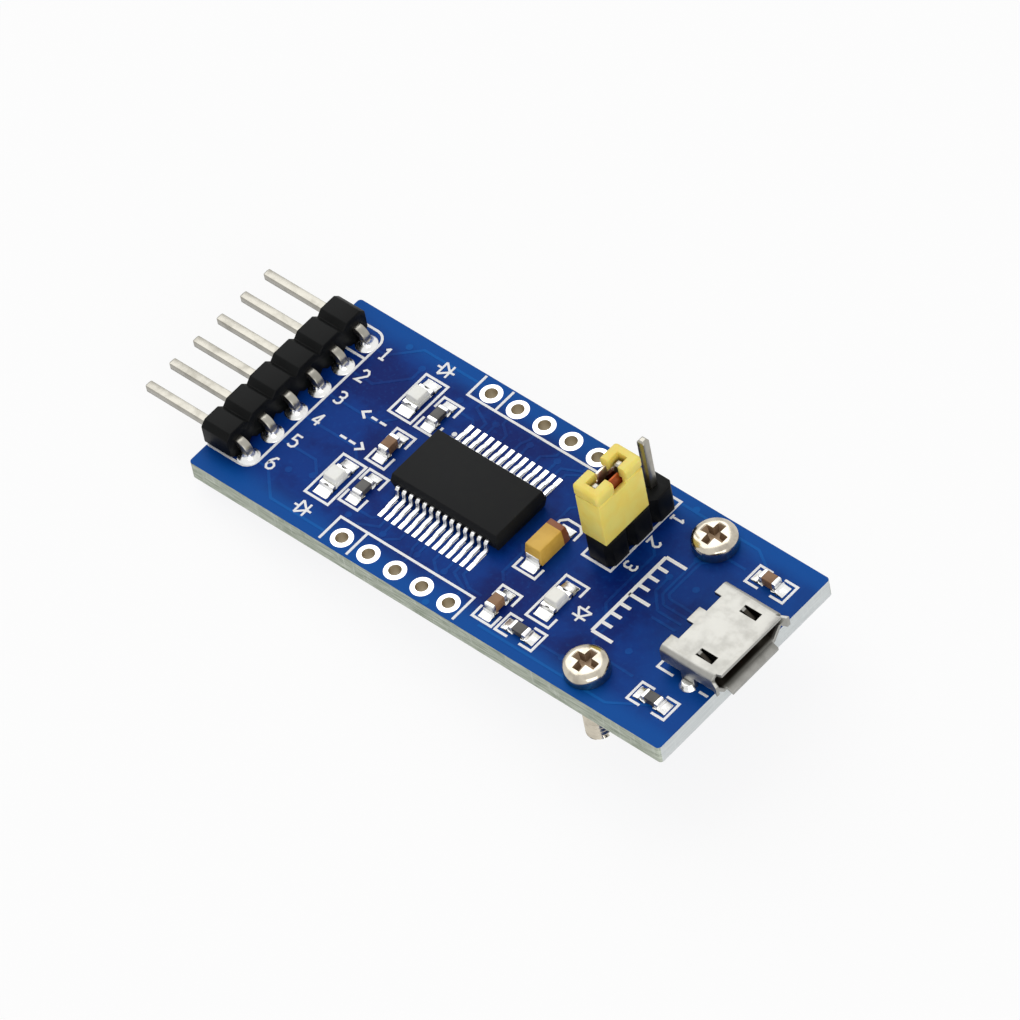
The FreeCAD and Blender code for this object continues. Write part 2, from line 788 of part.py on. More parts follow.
# Pads and solder fillets of the small parts: one solid at each terminal
FAMILY_JOINTS = {
    "resistor": ("chip_part_length", "small_pad_reach", "small_pad_width"),
    "capacitor": ("chip_part_length", "small_pad_reach", "small_pad_width"),
    "led": ("led_length", "led_pad_reach", "led_pad_width"),
    "tantalum": ("tantalum_length", "tantalum_pad_reach", "led_pad_width"),
}


def solder_fillets():
    joints = []
    for name, (family_name, _, _, across, _) in SMALL_PARTS.items():
        length, reach, width = FAMILY_JOINTS[family_name]
        pair = new_body(
            name + "_solder",
            x=part_line(name),
            y=f"{name}_sideways",
            z=TOP,
            turned=across,
        )
        side = new_sketch(pair, "XZ_Plane", name + "_solder_side")
        tip = f"{length} / 2"
        outline(
            side,
            [
                (f"{tip} - pad_inset", "0"),
                (reach, "0"),
                (reach, "foil"),
                (f"{tip} + fillet_rise / 3", "foil + fillet_rise / 3"),
                (tip, "foil + fillet_rise"),
                (tip, "foil"),
                (f"{tip} - pad_inset", "foil"),
            ],
        )
        wedge = pad(pair, side, width, middle=True)
        repeat(pair, [wedge], mirror="YZ_Plane")
        joints.append(pair)
    group = doc.addObject("Part::Compound", "solder_fillets")
    group.Label = "solder_fillets"
    group.Links = joints
    return keep(group)


# Pan-head screws with a cross recess, slimmer where they pass the board
def mounting_screw(name, y):
    body = new_body(name, y=y, z=TOP)
    profile = new_sketch(body, "XZ_Plane", name + "_profile")
    rim, neck, thread = "head_diameter / 2", "neck_diameter / 2", "screw_diameter / 2"
    crown = "(head_height - head_side)"
    dome = f"((head_diameter / 2) ^ 2 + {crown} ^ 2) / (2 * {crown})"
    outline(
        profile,
        [
            ("0", "-screw_length"),
            (f"{thread} - screw_tip", "-screw_length"),
            (thread, "-screw_length + screw_tip"),
            (thread, "-board_thickness"),
            (neck, "-board_thickness"),
            (neck, "0"),
            (rim, "0"),
            (rim, "head_side"),
            ("0", "head_height", dome),
        ],
    )
    shank = spin(body, profile)
    cross = new_sketch(body, "XY_Plane", name + "_cross", offset="head_height")
    arm, half = "recess_span / 2", "recess_width / 2"
    outline(
        cross,
        [
            (arm, f"-{half}"),
            (arm, half),
            (half, half),
            (half, arm),
            (f"-{half}", arm),
            (f"-{half}", half),
            (f"-{arm}", half),
            (f"-{arm}", f"-{half}"),
            (f"-{half}", f"-{half}"),
            (f"-{half}", f"-{arm}"),
            (half, f"-{arm}"),
            (half, f"-{half}"),
        ],
    )
    pocket(body, cross, "recess_depth")
    return keep(body)


# USB shell: one stamped and folded sheet, wider above than below
HALF_USB = "usb_width / 2"
BLOCK_BACK = "(-usb_depth + notch_depth)"
TAIL_OPENING = "(contact_pitch * (contact_count - 1) + contact_width + 2 * tail_gap)"


def shell_outline(sketch, inset):
    """The shell's section, drawn in by inset on every side."""
    bevel = f"atan(usb_bevel / ({HALF_USB} - usb_floor / 2))"
    floor = f"(usb_floor / 2 - ({inset}) * tan({bevel} / 2))"
    turn = f"(usb_bevel + ({inset}) * tan((90 deg - {bevel}) / 2))"
    side = f"({HALF_USB} - ({inset}))"
    roof = f"(usb_height - ({inset}))"
    curve = f"(usb_round - ({inset}))"
    outline(
        sketch,
        [
            (f"-{floor}", inset),
            (floor, inset),
            (side, turn),
            (side, f"{roof} - {curve}"),
            (f"{side} - {curve}", roof, curve),
            (f"-({side} - {curve})", roof),
            (f"-{side}", f"{roof} - {curve}", curve),
            (f"-{side}", turn),
        ],
    )


def usb_shell():
    body = new_body("usb_shell", x="screw_to_edge", z=TOP)
    skin = new_sketch(body, "YZ_Plane", "shell_outside", offset="-usb_depth")
    shell_outline(skin, "0")
    pad(body, skin, "usb_depth + usb_overhang")
    cavity = new_sketch(body, "YZ_Plane", "shell_inside")
    shell_outline(cavity, "usb_wall")
    pocket(body, cavity)
    # latch windows and the notched rear edge, through the roof alone
    openings = new_sketch(body, "XY_Plane", "roof_openings", offset="usb_height")
    for side in ("", "-"):
        centred(openings, "window_length", "window_width", "-window_back", side + "window_side")
        low, high = ("notch_inner", "notch_outer") if side == "" else ("-notch_outer", "-notch_inner")
        rectangle(openings, "-usb_depth", "-usb_depth + notch_depth", low, high)
    pocket(body, openings, "usb_wall * 1.2")
    tails = new_sketch(body, "XY_Plane", "tail_opening")
    centred(tails, "2 * notch_depth", TAIL_OPENING, "-usb_depth")
    pocket(body, tails, "usb_wall * 1.2", upwards=True)
    # latch springs, from the rear edge of each window down towards the mouth
    root = "(-window_back - window_length / 2)"
    latch = new_sketch(body, "XZ_Plane", "latch_side", offset="window_side")
    outline(
        latch,
        [
            (f"{root} - latch_thickness", "usb_height - latch_thickness"),
            (root, "usb_height - latch_thickness"),
            (f"{root} + latch_length", "usb_height - latch_thickness - latch_dip"),
            (f"{root} + latch_length", "usb_height - latch_dip"),
            (root, "usb_height"),
            (f"{root} - latch_thickness", "usb_height"),
        ],
    )
    spring = pad(body, latch, "latch_width", middle=True)
    repeat(body, [spring], mirror="XZ_Plane")
    # solder tabs, down from the sides to the board
    tab = new_sketch(body, "YZ_Plane", "side_tab", offset="-tab_back")
    rectangle(tab, f"{HALF_USB} - usb_wall", HALF_USB, "0", "usb_height - usb_round")
    leg = pad(body, tab, "tab_width", middle=True)
    repeat(body, [leg], mirror="XZ_Plane")
    # flared lips round the mouth
    front, out = "usb_overhang", "usb_overhang + flare_length"
    for name, level_in, level_out, half in (
        ("roof_lip", "usb_height", "usb_height + flare_rise", f"({HALF_USB} - usb_round)"),
        ("floor_lip", "usb_wall", "usb_wall - flare_rise", "(usb_floor / 2 - usb_wall)"),
    ):
        lip = new_sketch(body, "XZ_Plane", name)
        corners = [
            (front, f"{level_in} - usb_wall"),
            (out, f"{level_out} - usb_wall"),
            (out, level_out),
            (front, level_in),
        ]
        outline(lip, corners)
        pad(body, lip, f"2 * {half}", middle=True)
    cheek = new_sketch(body, "XY_Plane", "side_lip", offset="usb_bevel")
    outline(
        cheek,
        [
            (front, f"{HALF_USB} - usb_wall"),
            (out, f"{HALF_USB} - usb_wall + flare_rise"),
            (out, f"{HALF_USB} + flare_rise"),
            (front, HALF_USB),
        ],
    )
    wing = pad(body, cheek, "usb_height - usb_round - usb_bevel")
    repeat(body, [wing], mirror="XZ_Plane")
    return keep(body)


# Insulator: a block that closes the rear of the shell, with the tongue that carries the contacts
CONTACT_LEVEL = "(tongue_height - contact_thickness)"
BLOCK_FRONT = f"({BLOCK_BACK} + block_depth)"
TONGUE_TIP = "(usb_overhang - tongue_setback)"


def usb_insulator():
    body = new_body("usb_insulator", x="screw_to_edge", z=TOP)
    face = new_sketch(body, "YZ_Plane", "block_face", offset=BLOCK_BACK)
    shell_outline(face, "usb_wall + block_clearance")
    pad(body, face, "block_depth")
    tongue = new_sketch(body, "XY_Plane", "tongue_plan", offset="tongue_height")
    centre = f"({BLOCK_FRONT} + {TONGUE_TIP}) / 2"
    centred(tongue, f"({TONGUE_TIP} - {BLOCK_FRONT})", "tongue_width", centre)
    pad(body, tongue, "tongue_thickness")
    slots = new_sketch(body, "YZ_Plane", "contact_slots", offset=BLOCK_BACK)
    for index in range(count("contact_count")):
        middle = f"({index} - (contact_count - 1) / 2) * contact_pitch"
        centred(slots, "contact_width", "contact_thickness", middle, f"{CONTACT_LEVEL} + contact_thickness / 2")
    pocket(body, slots, "block_depth", upwards=True)
    return keep(body)


# Contacts: along the tongue, through the block, and down to feet behind the shell
def usb_contacts():
    first = "-(contact_count - 1) / 2 * contact_pitch"
    body = new_body("usb_contacts", x="screw_to_edge", y=first, z=TOP)
    side = new_sketch(body, "XZ_Plane", "contact_side")
    back = f"({BLOCK_BACK} - contact_thickness)"
    outline(
        side,
        [
            (f"{TONGUE_TIP} - contact_thickness", CONTACT_LEVEL),
            (f"{TONGUE_TIP} - contact_thickness", "tongue_height"),
            (back, "tongue_height"),
            (back, "foil + contact_thickness"),
            (f"{back} - contact_tail", "foil + contact_thickness"),
            (f"{back} - contact_tail", "foil"),
            (BLOCK_BACK, "foil"),
            (BLOCK_BACK, CONTACT_LEVEL),
        ],
    )
    strip = pad(body, side, "contact_width", middle=True)
    repeat(body, [strip], rows=("Y_Axis", "contact_pitch", "contact_count"))
    return keep(body)


# Solder drawn up round the outside of each side tab
def usb_solder():
    body = new_body("usb_solder", x="screw_to_edge - tab_back", z=TOP)
    profile = new_sketch(body, "XZ_Plane", "blob_profile", offset=f"-({HALF_USB})")
    outline(profile, [("0", "0"), ("blob_size / 2", "0"), ("blob_top / 2", "blob_height"), ("0", "blob_height")])
    blob = spin(body, profile)
    trim = new_sketch(body, "XY_Plane", "blob_trim")
    rectangle(trim, "-blob_size", "blob_size", f"{HALF_USB} - blob_size", HALF_USB)
    cut = pocket(body, trim)
    repeat(body, [blob, cut], mirror="XZ_Plane")
    return keep(body)


circuit_board()
header_housing()
for pin in range(count("header_count")):
    header_pin(pin)
pin_solder("header_solder", HEADER_LINE, HEADER_START, "header_count", both_faces=True)
select_housing()
for pin in range(count("select_count")):
    select_pin(pin)
pin_solder("select_solder", "-select_to_screws", SELECT_START, "select_count", both_faces=False)
jumper_cap()
jumper_clip()
serial_chip()
chip_leads()
chip_pads()
for part_name, (family, _, _, _, _) in SMALL_PARTS.items():
    if family == "led":
        led(part_name)
    elif family == "tantalum":
        tantalum()
    else:
        chip_part(part_name, family + "_height")
solder_fillets()
mounting_screw("mounting_screw_1", "-screw_spacing / 2")
mounting_screw("mounting_screw_2", "screw_spacing / 2")
usb_shell()
usb_insulator()
usb_contacts()
usb_solder()
doc.recompute()

failed = [thing.Name for thing in doc.Objects if "Invalid" in thing.State or "Error" in thing.State]
if failed:
    raise RuntimeError("these objects did not build: " + ", ".join(failed))
os.makedirs("parts", exist_ok=True)
for piece in parts:
    if piece.Shape.isNull() or not piece.Shape.isValid() or not piece.Shape.Solids:
        raise RuntimeError(piece.Label + " has no sound shape")
    piece.Shape.exportStep(os.path.join("parts", piece.Label + ".step"))
print(len(parts), "sub-parts written")
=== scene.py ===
# %% [markdown]
# # A small USB to serial adapter, dressed for its portrait
#
# The solid model already holds every real size: the board, its headers, the chip,
# the socket, the screws and the jumper.  This lesson gives those solids what they
# lack, which is the softness of moulded edges, bright solder, the white print on the
# blue board, and finishes that behave in light as the real ones do.
#
# The model is loaded first and is never moved.  Each new piece is made in its own
# place over the solid that it stands for, so nothing has to be fitted afterwards.

import math

import bpy
from mathutils import Matrix, Vector


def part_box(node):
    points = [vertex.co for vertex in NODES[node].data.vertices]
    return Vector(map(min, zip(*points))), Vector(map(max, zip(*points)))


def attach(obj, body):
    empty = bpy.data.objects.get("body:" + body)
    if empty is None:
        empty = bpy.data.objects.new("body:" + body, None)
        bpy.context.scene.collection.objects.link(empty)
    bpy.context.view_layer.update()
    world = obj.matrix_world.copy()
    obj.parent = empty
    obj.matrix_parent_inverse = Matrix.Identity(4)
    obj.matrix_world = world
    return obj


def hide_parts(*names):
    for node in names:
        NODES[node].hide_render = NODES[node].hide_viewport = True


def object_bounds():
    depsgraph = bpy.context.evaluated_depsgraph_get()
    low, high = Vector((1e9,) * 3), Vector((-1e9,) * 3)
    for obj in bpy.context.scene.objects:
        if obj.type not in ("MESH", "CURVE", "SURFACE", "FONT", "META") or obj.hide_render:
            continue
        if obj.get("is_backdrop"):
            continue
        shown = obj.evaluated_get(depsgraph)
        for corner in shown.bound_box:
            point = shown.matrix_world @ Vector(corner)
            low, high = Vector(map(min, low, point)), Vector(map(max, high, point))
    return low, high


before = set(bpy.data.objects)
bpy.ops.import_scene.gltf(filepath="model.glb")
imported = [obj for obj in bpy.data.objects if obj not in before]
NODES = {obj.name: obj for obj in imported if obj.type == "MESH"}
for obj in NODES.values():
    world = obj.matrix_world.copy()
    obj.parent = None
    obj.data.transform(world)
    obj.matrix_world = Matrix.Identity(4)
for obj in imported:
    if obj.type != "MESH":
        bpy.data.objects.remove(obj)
SOLID_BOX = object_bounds()
MM = 0.001
solid_size = [round(side / MM, 2) for side in SOLID_BOX[1] - SOLID_BOX[0]]
print(len(NODES), "solids, the whole", solid_size, "mm")

# %% [markdown]
# ## The camera
#
# The photograph was taken from above the socket's end with a long lens, so lines
# that are parallel on the board stay almost parallel.  Standard pitches that show
# in it, such as the header's 2.54 mm, tell where the camera stood.  Its three axes
# are written out here and become the columns of its rotation.

# %% Place the camera
CAMERA_PLACE = Vector((379.63, -322.71, 611.96)) * MM
CAMERA_RIGHT = Vector((0.743828, 0.655097, -0.132544))
CAMERA_UP = Vector((-0.448952, 0.636625, 0.627018))
CAMERA_BACK = Vector((0.495138, -0.406888, 0.767646))
CAMERA_LENS = 397.4

bpy.ops.object.camera_add(location=CAMERA_PLACE)
camera = bpy.context.object
camera.name = "camera"
camera.rotation_euler = Matrix((CAMERA_RIGHT, CAMERA_UP, CAMERA_BACK)).transposed().to_euler()
camera.data.sensor_width = 36
camera.data.lens = CAMERA_LENS
camera.data.clip_start, camera.data.clip_end = 0.05, 20
bpy.context.scene.camera = camera
print("camera", round(CAMERA_PLACE.length, 3), "m from the board's origin")

# %% [markdown]
# ## Writing a finish as sums
#
# A material in Blender is a graph of small nodes, and a long graph is hard to read.
# A short class puts one output of such a node behind Python's own signs, so that
# `1 - mask` or `grain * 0.3` adds the Math nodes by itself.  Vectors go through
# Vector Math instead, because a Math node keeps only a vector's average.

# %% A value that differs from point to point
class Value:
    """One output of a node: a number, a colour or a vector at each point."""

    def __init__(self, finish, socket):
        self.finish = finish
        self.socket = socket

    def _join(self, operation, first, second):
        kind = "ShaderNodeVectorMath" if self.socket.type == "VECTOR" else "ShaderNodeMath"
        return self.finish.node(kind, {"operation": operation}, {0: first, 1: second})

    def __add__(self, other):
        return self._join("ADD", self, other)

    def __sub__(self, other):
        return self._join("SUBTRACT", self, other)

    def __rsub__(self, other):
        return self._join("SUBTRACT", other, self)

    def __mul__(self, other):
        return self._join("MULTIPLY", self, other)

    def size(self):
        return self._join("ABSOLUTE", self, 0)

    def most(self, other):
        return self._join("MAXIMUM", self, other)

    def rise(self, low, high):
        """0 below low, 1 above high, and a smooth step between them."""
        settings = {"interpolation_type": "SMOOTHSTEP", "clamp": True}
        sockets = {"Value": self, "From Min": low, "From Max": high}
        return self.finish.node("ShaderNodeMapRange", settings, sockets)


# %% [markdown]
# A finish starts from the shader that all plastics and metals share, and from the
# place of a point in millimetres.  Constants go straight on the shader's sockets,
# and only what changes over the surface is linked.

# %% A finish, and one way to add any node to it
def tint(red, green, blue):
    """A colour from 0 to 255, as a screen shows it, in the light's own scale."""
    channels = []
    for level in (red, green, blue):
        part = level / 255
        channels.append(part / 12.92 if part <= 0.04045 else ((part + 0.055) / 1.055) ** 2.4)
    return (*channels, 1.0)


class Finish:
    """A material while it is written."""

    def __init__(self, name, **fixed):
        self.material = bpy.data.materials.new(name)
        self.material.use_nodes = True
        self.tree = self.material.node_tree
        self.tree.nodes.clear()
        self.shader = self.tree.nodes.new("ShaderNodeBsdfPrincipled")
        self.end = self.tree.nodes.new("ShaderNodeOutputMaterial")
        self.tree.links.new(self.shader.outputs[0], self.end.inputs["Surface"])
        for socket, value in fixed.items():
            self.shader.inputs[socket.replace("_", " ")].default_value = value
        spot = self.node("ShaderNodeTexCoord", {}, {}, "Object")
        self.place = self.node("ShaderNodeMapping", {}, {"Vector": spot, "Scale": (1 / MM,) * 3})
        self.x, self.y, self.z = (self.part(self.place, axis) for axis in "XYZ")

    def node(self, kind, settings, sockets, output=0):
        made = self.tree.nodes.new(kind)
        for name, value in settings.items():
            setattr(made, name, value)
        for socket, value in sockets.items():
            if isinstance(value, Value):
                self.tree.links.new(value.socket, made.inputs[socket])
            else:
                made.inputs[socket].default_value = value
        return Value(self, made.outputs[output])

    def part(self, vector, axis):
        """One of a vector's three numbers."""
        return self.node("ShaderNodeSeparateXYZ", {}, {"Vector": vector}, axis)

    def set(self, socket, value):
        self.tree.links.new(value.socket, self.shader.inputs[socket])

    def blend(self, share, first, second):
        """The first colour where the share is 0, and the second where it is 1."""
        return self.node("ShaderNodeMix", {"data_type": "RGBA"}, {0: share, 6: first, 7: second}, 2)

    def grain(self, size, detail=2.0, stretch=(1, 1, 1)):
        """Noise from 0 to 1 whose spots are about this many millimetres across."""
        lay = self.node("ShaderNodeMapping", {}, {"Vector": self.place, "Scale": stretch})
        sockets = {"Vector": lay, "Scale": 1 / size, "Detail": detail}
        return self.node("ShaderNodeTexNoise", {}, sockets, "Fac")

    def relief(self, height, depth, strength):
        """Raises the surface, in looks only, by up to this many millimetres."""
        sockets = {"Height": height, "Distance": depth * MM, "Strength": strength}
        self.set("Normal", self.node("ShaderNodeBump", {}, sockets, "Normal"))

    def facing(self):
        """How much the surface faces up or down: 1 on the board's faces, 0 on its edges."""
        normal = self.node("ShaderNodeNewGeometry", {}, {}, "Normal")
        return self.part(normal, "Z").size()


print("a finish is ready to be written")

# %% [markdown]
# ## Working by hand, in code
#
# Blender's operators act on whatever is selected, and the solids are selected after
# they load.  So every step first takes hold of one piece alone, and then of the
# faces or corners that pass a test on their place or direction.

# %% Take hold of one piece, or of a part of it
def hold(piece):
    bpy.ops.object.select_all(action="DESELECT")
    piece.select_set(True)
    bpy.context.view_layer.objects.active = piece


def leave():
    bpy.ops.object.mode_set(mode="OBJECT")


def whole(piece):
    """Opens the piece in edit mode with all of it selected."""
    hold(piece)
    bpy.ops.object.mode_set(mode="EDIT")
    bpy.ops.mesh.select_all(action="SELECT")


def pick(piece, kind, test):
    """Opens the piece in edit mode with the faces or corners that pass the test."""
    hold(piece)
    bpy.ops.object.mode_set(mode="EDIT")
    bpy.ops.mesh.select_mode(type=kind)
    bpy.ops.mesh.select_all(action="DESELECT")
    leave()
    if kind == "FACE":
        for face in piece.data.polygons:
            face.select = test(face.center / MM, face.normal)
    else:
        for corner in piece.data.vertices:
            corner.select = test(corner.co / MM, corner.normal)
    bpy.ops.object.mode_set(mode="EDIT")


def laid():
    """The piece just added, with its place and size written into its mesh."""
    bpy.ops.object.transform_apply(location=True, rotation=True, scale=True)
    return bpy.context.object


# %% [markdown]
# A modifier is a recipe that stays open until it is applied.  Each one here is
# applied at once, so that every piece ends as a plain mesh with its place in it.

# %% Apply a modifier, and finish a piece
def treat(piece, kind, **settings):
    hold(piece)
    step = piece.modifiers.new("step", kind)
    for name, value in settings.items():
        setattr(step, name, value)
    bpy.ops.object.modifier_apply(modifier=step.name)
    return piece


def smooth(piece, angle):
    hold(piece)
    bpy.ops.object.shade_smooth_by_angle(angle=math.radians(angle))
    return piece


def settle(piece, finish, body="module", stands_for=()):
    """Gives a finished piece its material, its body and the solids that it stands for."""
    hold(piece)
    bpy.ops.object.transform_apply(location=True, rotation=True, scale=True)
    piece.data.materials.clear()
    piece.data.materials.append(finish.material)
    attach(piece, body)
    if stands_for:
        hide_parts(*stands_for)
    print(f"{piece.name}: {len(piece.data.polygons)} faces")


# %% [markdown]
# ## Edges that catch the light
#
# A solid model's edges are perfectly sharp, and nothing real is.  Moulded plastic
# leaves its mould with edges a few hundredths of a millimetre round, and those
# thin bright lines are what tells an eye that a thing is small.  Rounding each edge
# by hand would work, and so would a shader trick, but a bevel on a copy of the solid
# shows from every side and stays exactly on the real size.

# %% Copy a solid and soften its edges
def copied(name, node):
    """A copy of a solid with its loose triangles joined into whole faces."""
    piece = bpy.data.objects.new(name, NODES[node].data.copy())
    bpy.context.scene.collection.objects.link(piece)
    whole(piece)
    bpy.ops.mesh.remove_doubles(threshold=0.0005 * MM)
    bpy.ops.mesh.dissolve_limited(angle_limit=math.radians(0.5))
    leave()
    return piece


SHARP_FROM, SMOOTH_TO = 25, 50


def softened(name, node, round_by, finish, body="module", steps=2):
    """A copy of a solid that stands for it, its edges rounded by this many millimetres."""
    piece = copied(name, node)
    treat(
        piece,
        "BEVEL",
        width=round_by * MM,
        segments=steps,
        limit_method="ANGLE",
        angle_limit=math.radians(SHARP_FROM),
        use_clamp_overlap=False,
    )
    settle(smooth(piece, SMOOTH_TO), finish, body, [node])


print("pieces can be held, picked, treated and softened")

# %% [markdown]
# ## Black nylon
#
# The header strips are moulded in nylon with glass fibre: a black that is really a
# dark grey, with a fine orange-peel skin and a soft sheen.  The skin is noise a
# tenth of a millimetre across that lifts the surface by a few microns, and a coarser
# noise makes some spots duller than others, as the mould's steel does.

# %% Nylon, epoxy and the jumper's yellow
def moulded(name, shade, other, roughness, grain_size, depth, **fixed):
    """A moulded plastic: two near shades, an uneven sheen and a fine skin."""
    finish = Finish(name, **fixed)
    patches = finish.grain(1.4, 3)
    skin = finish.grain(grain_size, 2)
    finish.shade = finish.blend(patches.rise(0.35, 0.7), shade, other)
    finish.set("Base Color", finish.shade)
    finish.set("Roughness", patches * 0.12 + skin * 0.08 + roughness)
    finish.relief(skin, depth, 0.6)
    return finish


nylon = moulded(
    "black_nylon", tint(6, 7, 7), tint(12, 13, 13), 0.38, 0.09, 0.006, Specular_IOR_Level=0.1
)
epoxy = moulded(
    "chip_epoxy", tint(17, 18, 19), tint(22, 23, 23), 0.5, 0.06, 0.005, Specular_IOR_Level=0.13
)
yellow = moulded(
    "jumper_yellow",
    tint(255, 235, 122),
    tint(255, 227, 106),
    0.32,
    0.12,
    0.004,
    Specular_IOR_Level=0.4,
    Subsurface_Weight=0.2,
    Subsurface_Scale=0.0006,
)
print("moulded plastics:", nylon.material.name, epoxy.material.name, yellow.material.name)

# %% [markdown]
# ## Plated metal
#
# Tin, nickel and solder are all grey metals, and differ in how they scatter light.
# Solder that has flowed is almost a mirror with slow ripples, while plated pins have
# a satin drawn surface.  All are metallic shaders of one recipe with their own
# roughness, ripple and wear.  The bronze clip has a painted highlight: where it sticks
# out of the jumper on its rear side, which faces the window, it is painted pale.

# %% Solder, tin, nickel and bronze
def plated(name, shade, wear_and_painted_highlight, roughness, ripple, depth, stretch=(1, 1, 1)):
    finish = Finish(name, Metallic=1.0)
    cloud = finish.grain(0.9, 3)
    wave = finish.grain(ripple, 2, stretch)
    finish.shade = finish.blend(cloud.rise(0.4, 0.75), shade, wear_and_painted_highlight)
    finish.set("Base Color", finish.shade)
    finish.set("Roughness", cloud * 0.12 + roughness)
    finish.relief(wave, depth, 0.7)
    return finish


solder = plated("solder", tint(238, 238, 236), tint(216, 216, 214), 0.18, 0.45, 0.02)
tin = plated("tin_plate", tint(232, 232, 230), tint(206, 206, 204), 0.26, 0.25, 0.006)
pin_metal = plated(
    "pin_plate", tint(164, 161, 152), tint(144, 141, 132), 0.24, 0.12, 0.003, (0.15, 1, 1)
)
nickel = plated("nickel_shell", tint(160, 159, 154), tint(146, 145, 140), 0.3, 0.8, 0.006)
screw_metal = plated("screw_nickel", tint(200, 192, 176), tint(170, 162, 148), 0.16, 0.5, 0.004)
bronze = plated("bronze", tint(150, 74, 40), tint(108, 46, 28), 0.3, 0.3, 0.006)
EAR_HEIGHT = 1.2
CLIP_LOW, CLIP_HIGH = (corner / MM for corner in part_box("jumper_clip"))
# Painted highlight: the rear half of the clip, in the ears above the cap, is painted a pale lit
# shade.
rear_half = ((CLIP_LOW.x + CLIP_HIGH.x) / 2 - bronze.x).rise(0, 0.1)
wear_and_painted_highlight = rear_half * (bronze.z - (CLIP_HIGH.z - EAR_HEIGHT)).rise(0, 0.2)
bronze.set("Base Color", bronze.blend(wear_and_painted_highlight, bronze.shade, tint(226, 218, 206)))
metals = (solder, tin, pin_metal, nickel, screw_metal, bronze)
print("metals:", [metal.material.name for metal in metals])

# %% [markdown]
# ## The headers and their pins
#
# The rear strip is six moulded cubes in a row, with a notch between each two, and
# the pins turn down through the board behind it.  The strip for the jumper stands
# upright.  Both are copies of their solids with softened edges.

# %% Header strips and pins
softened("header_strip", "header_housing", 0.07, nylon)
softened("select_strip", "select_housing", 0.07, nylon)
for index in range(1, 7):
    softened(f"bent_pin_{index}", f"header_pin_{index}", 0.04, pin_metal)
for index in range(1, 4):
    softened(f"upright_pin_{index}", f"select_pin_{index}", 0.04, pin_metal)

# %% [markdown]
# ## The jumper
#
# The cap is a thin moulded box round a bronze clip, and both slide off the pins
# together.  So they ride on the jumper's body, while all else rides on the module.

# %% Jumper cap and its clip
softened("yellow_cap", "jumper_cap", 0.06, yellow, "jumper")
softened("spring_clip", "jumper_clip", 0.02, bronze, "jumper", steps=1)

# %% [markdown]
# ## The chip
#
# Its body is pressed epoxy, black and dull with a fine grain, and twenty-eight tinned
# leads leave its sides, bent like a gull's wings.

# %% Chip body and leads
softened("chip_body", "serial_chip", 0.05, epoxy)
softened("gull_leads", "chip_leads", 0.02, tin)

# %% [markdown]
# ## The socket
#
# A thin steel sheet is folded into a shell round a black block with five bronze
# contacts, and its lugs are soldered to the board.  So thin a sheet takes only a slight
# rounding, or its lips would look cast.

# %% Shell, block, contacts and solder
softened("socket_shell", "usb_shell", 0.03, nickel)
softened("socket_block", "usb_insulator", 0.04, nylon)
softened("socket_tongues", "usb_contacts", 0.01, bronze, steps=1)
softened("socket_solder", "usb_solder", 0.05, solder)

# %% [markdown]
# Inside the shell, and on the two latches that show through its windows, the metal is
# painted dark: a painted shade for the shade that falls deep inside the socket.

# %% The painted shade inside the shell
SHELL_LOW, SHELL_HIGH = (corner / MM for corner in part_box("usb_shell"))
CEILING, BOTTOM = SHELL_HIGH.z - 0.33, SHELL_LOW.z + 0.5
INNER_SIDE, MOUTH = SHELL_HIGH.y - 0.5, SHELL_HIGH.x - 0.6
# Painted shade: inside the shell, below its ceiling and back from its mouth, the metal is painted
# dark.
painted_shade_within = (CEILING - nickel.z).rise(0, 0.05) * (nickel.z - BOTTOM).rise(0, 0.05)
painted_shade_within = painted_shade_within * (INNER_SIDE - nickel.y.size()).rise(0, 0.05) * (MOUTH - nickel.x).rise(0, 0.3)
nickel.set("Base Color", nickel.blend(painted_shade_within, nickel.shade, tint(62, 58, 52)))
print("the shell is dull from", round(BOTTOM, 2), "to", round(CEILING, 2), "mm up")

# %% [markdown]
# ## The board
#
# A circuit board is woven glass in epoxy, with copper etched on both faces under a
# thin coat of coloured lacquer, here a deep blue.  The blue is painted lighter near the
# long edges and toward the socket's end, a painted light for how the light falls over
# the board.  Its cut edge shows the pale weave in layers, and the rings round the holes
# are bare copper under bright solder.  The solid already has rings and holes, so it
# stays, and one material tells the four surfaces apart by height and direction.

# %% The lacquer
BOARD_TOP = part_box("chip_pads")[0].z / MM
BOARD_LOW, BOARD_HIGH = (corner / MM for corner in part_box("circuit_board"))
RING_RISE = BOARD_HIGH.z - BOARD_TOP
RIM_FROM_Y, RIM_FROM_X = 6.4, 0.6


def lacquered(name, lighter=0):
    """The blue, mottled by the weave under it, with painted light along the long edges and at the
    socket's end.

    A screen's levels are raised by lighter where copper lies under the lacquer.
    """
    levels = ((34, 110), (57, 140), (84, 168))
    deep, middle, pale = (
        tint(5 + lighter / 3, green + lighter, blue + lighter) for green, blue in levels
    )
    finish = Finish(name, Specular_IOR_Level=0.07)
    finish.weave = finish.grain(0.32, 3)
    finish.pool = finish.grain(3.2, 4)
    mottled = finish.blend(finish.pool.rise(0.34, 0.64), deep, middle)
    # Painted light: the blue is painted lighter toward the long edges and toward the socket's end.
    painted_light_rim = (finish.y.size() - RIM_FROM_Y).rise(0, 2.2)
    painted_light_rim = painted_light_rim.most((finish.x - RIM_FROM_X).rise(0, 6) * 0.55)
    mottled = finish.blend(painted_light_rim * 0.9, mottled, pale)
    finish.shade = finish.blend(finish.weave.rise(0.5, 0.85) * 0.3, mottled, pale)
    finish.set("Base Color", finish.shade)
    finish.set("Roughness", finish.pool * 0.1 + 0.34)
    finish.relief(finish.weave, 0.008, 0.6)
    return finish


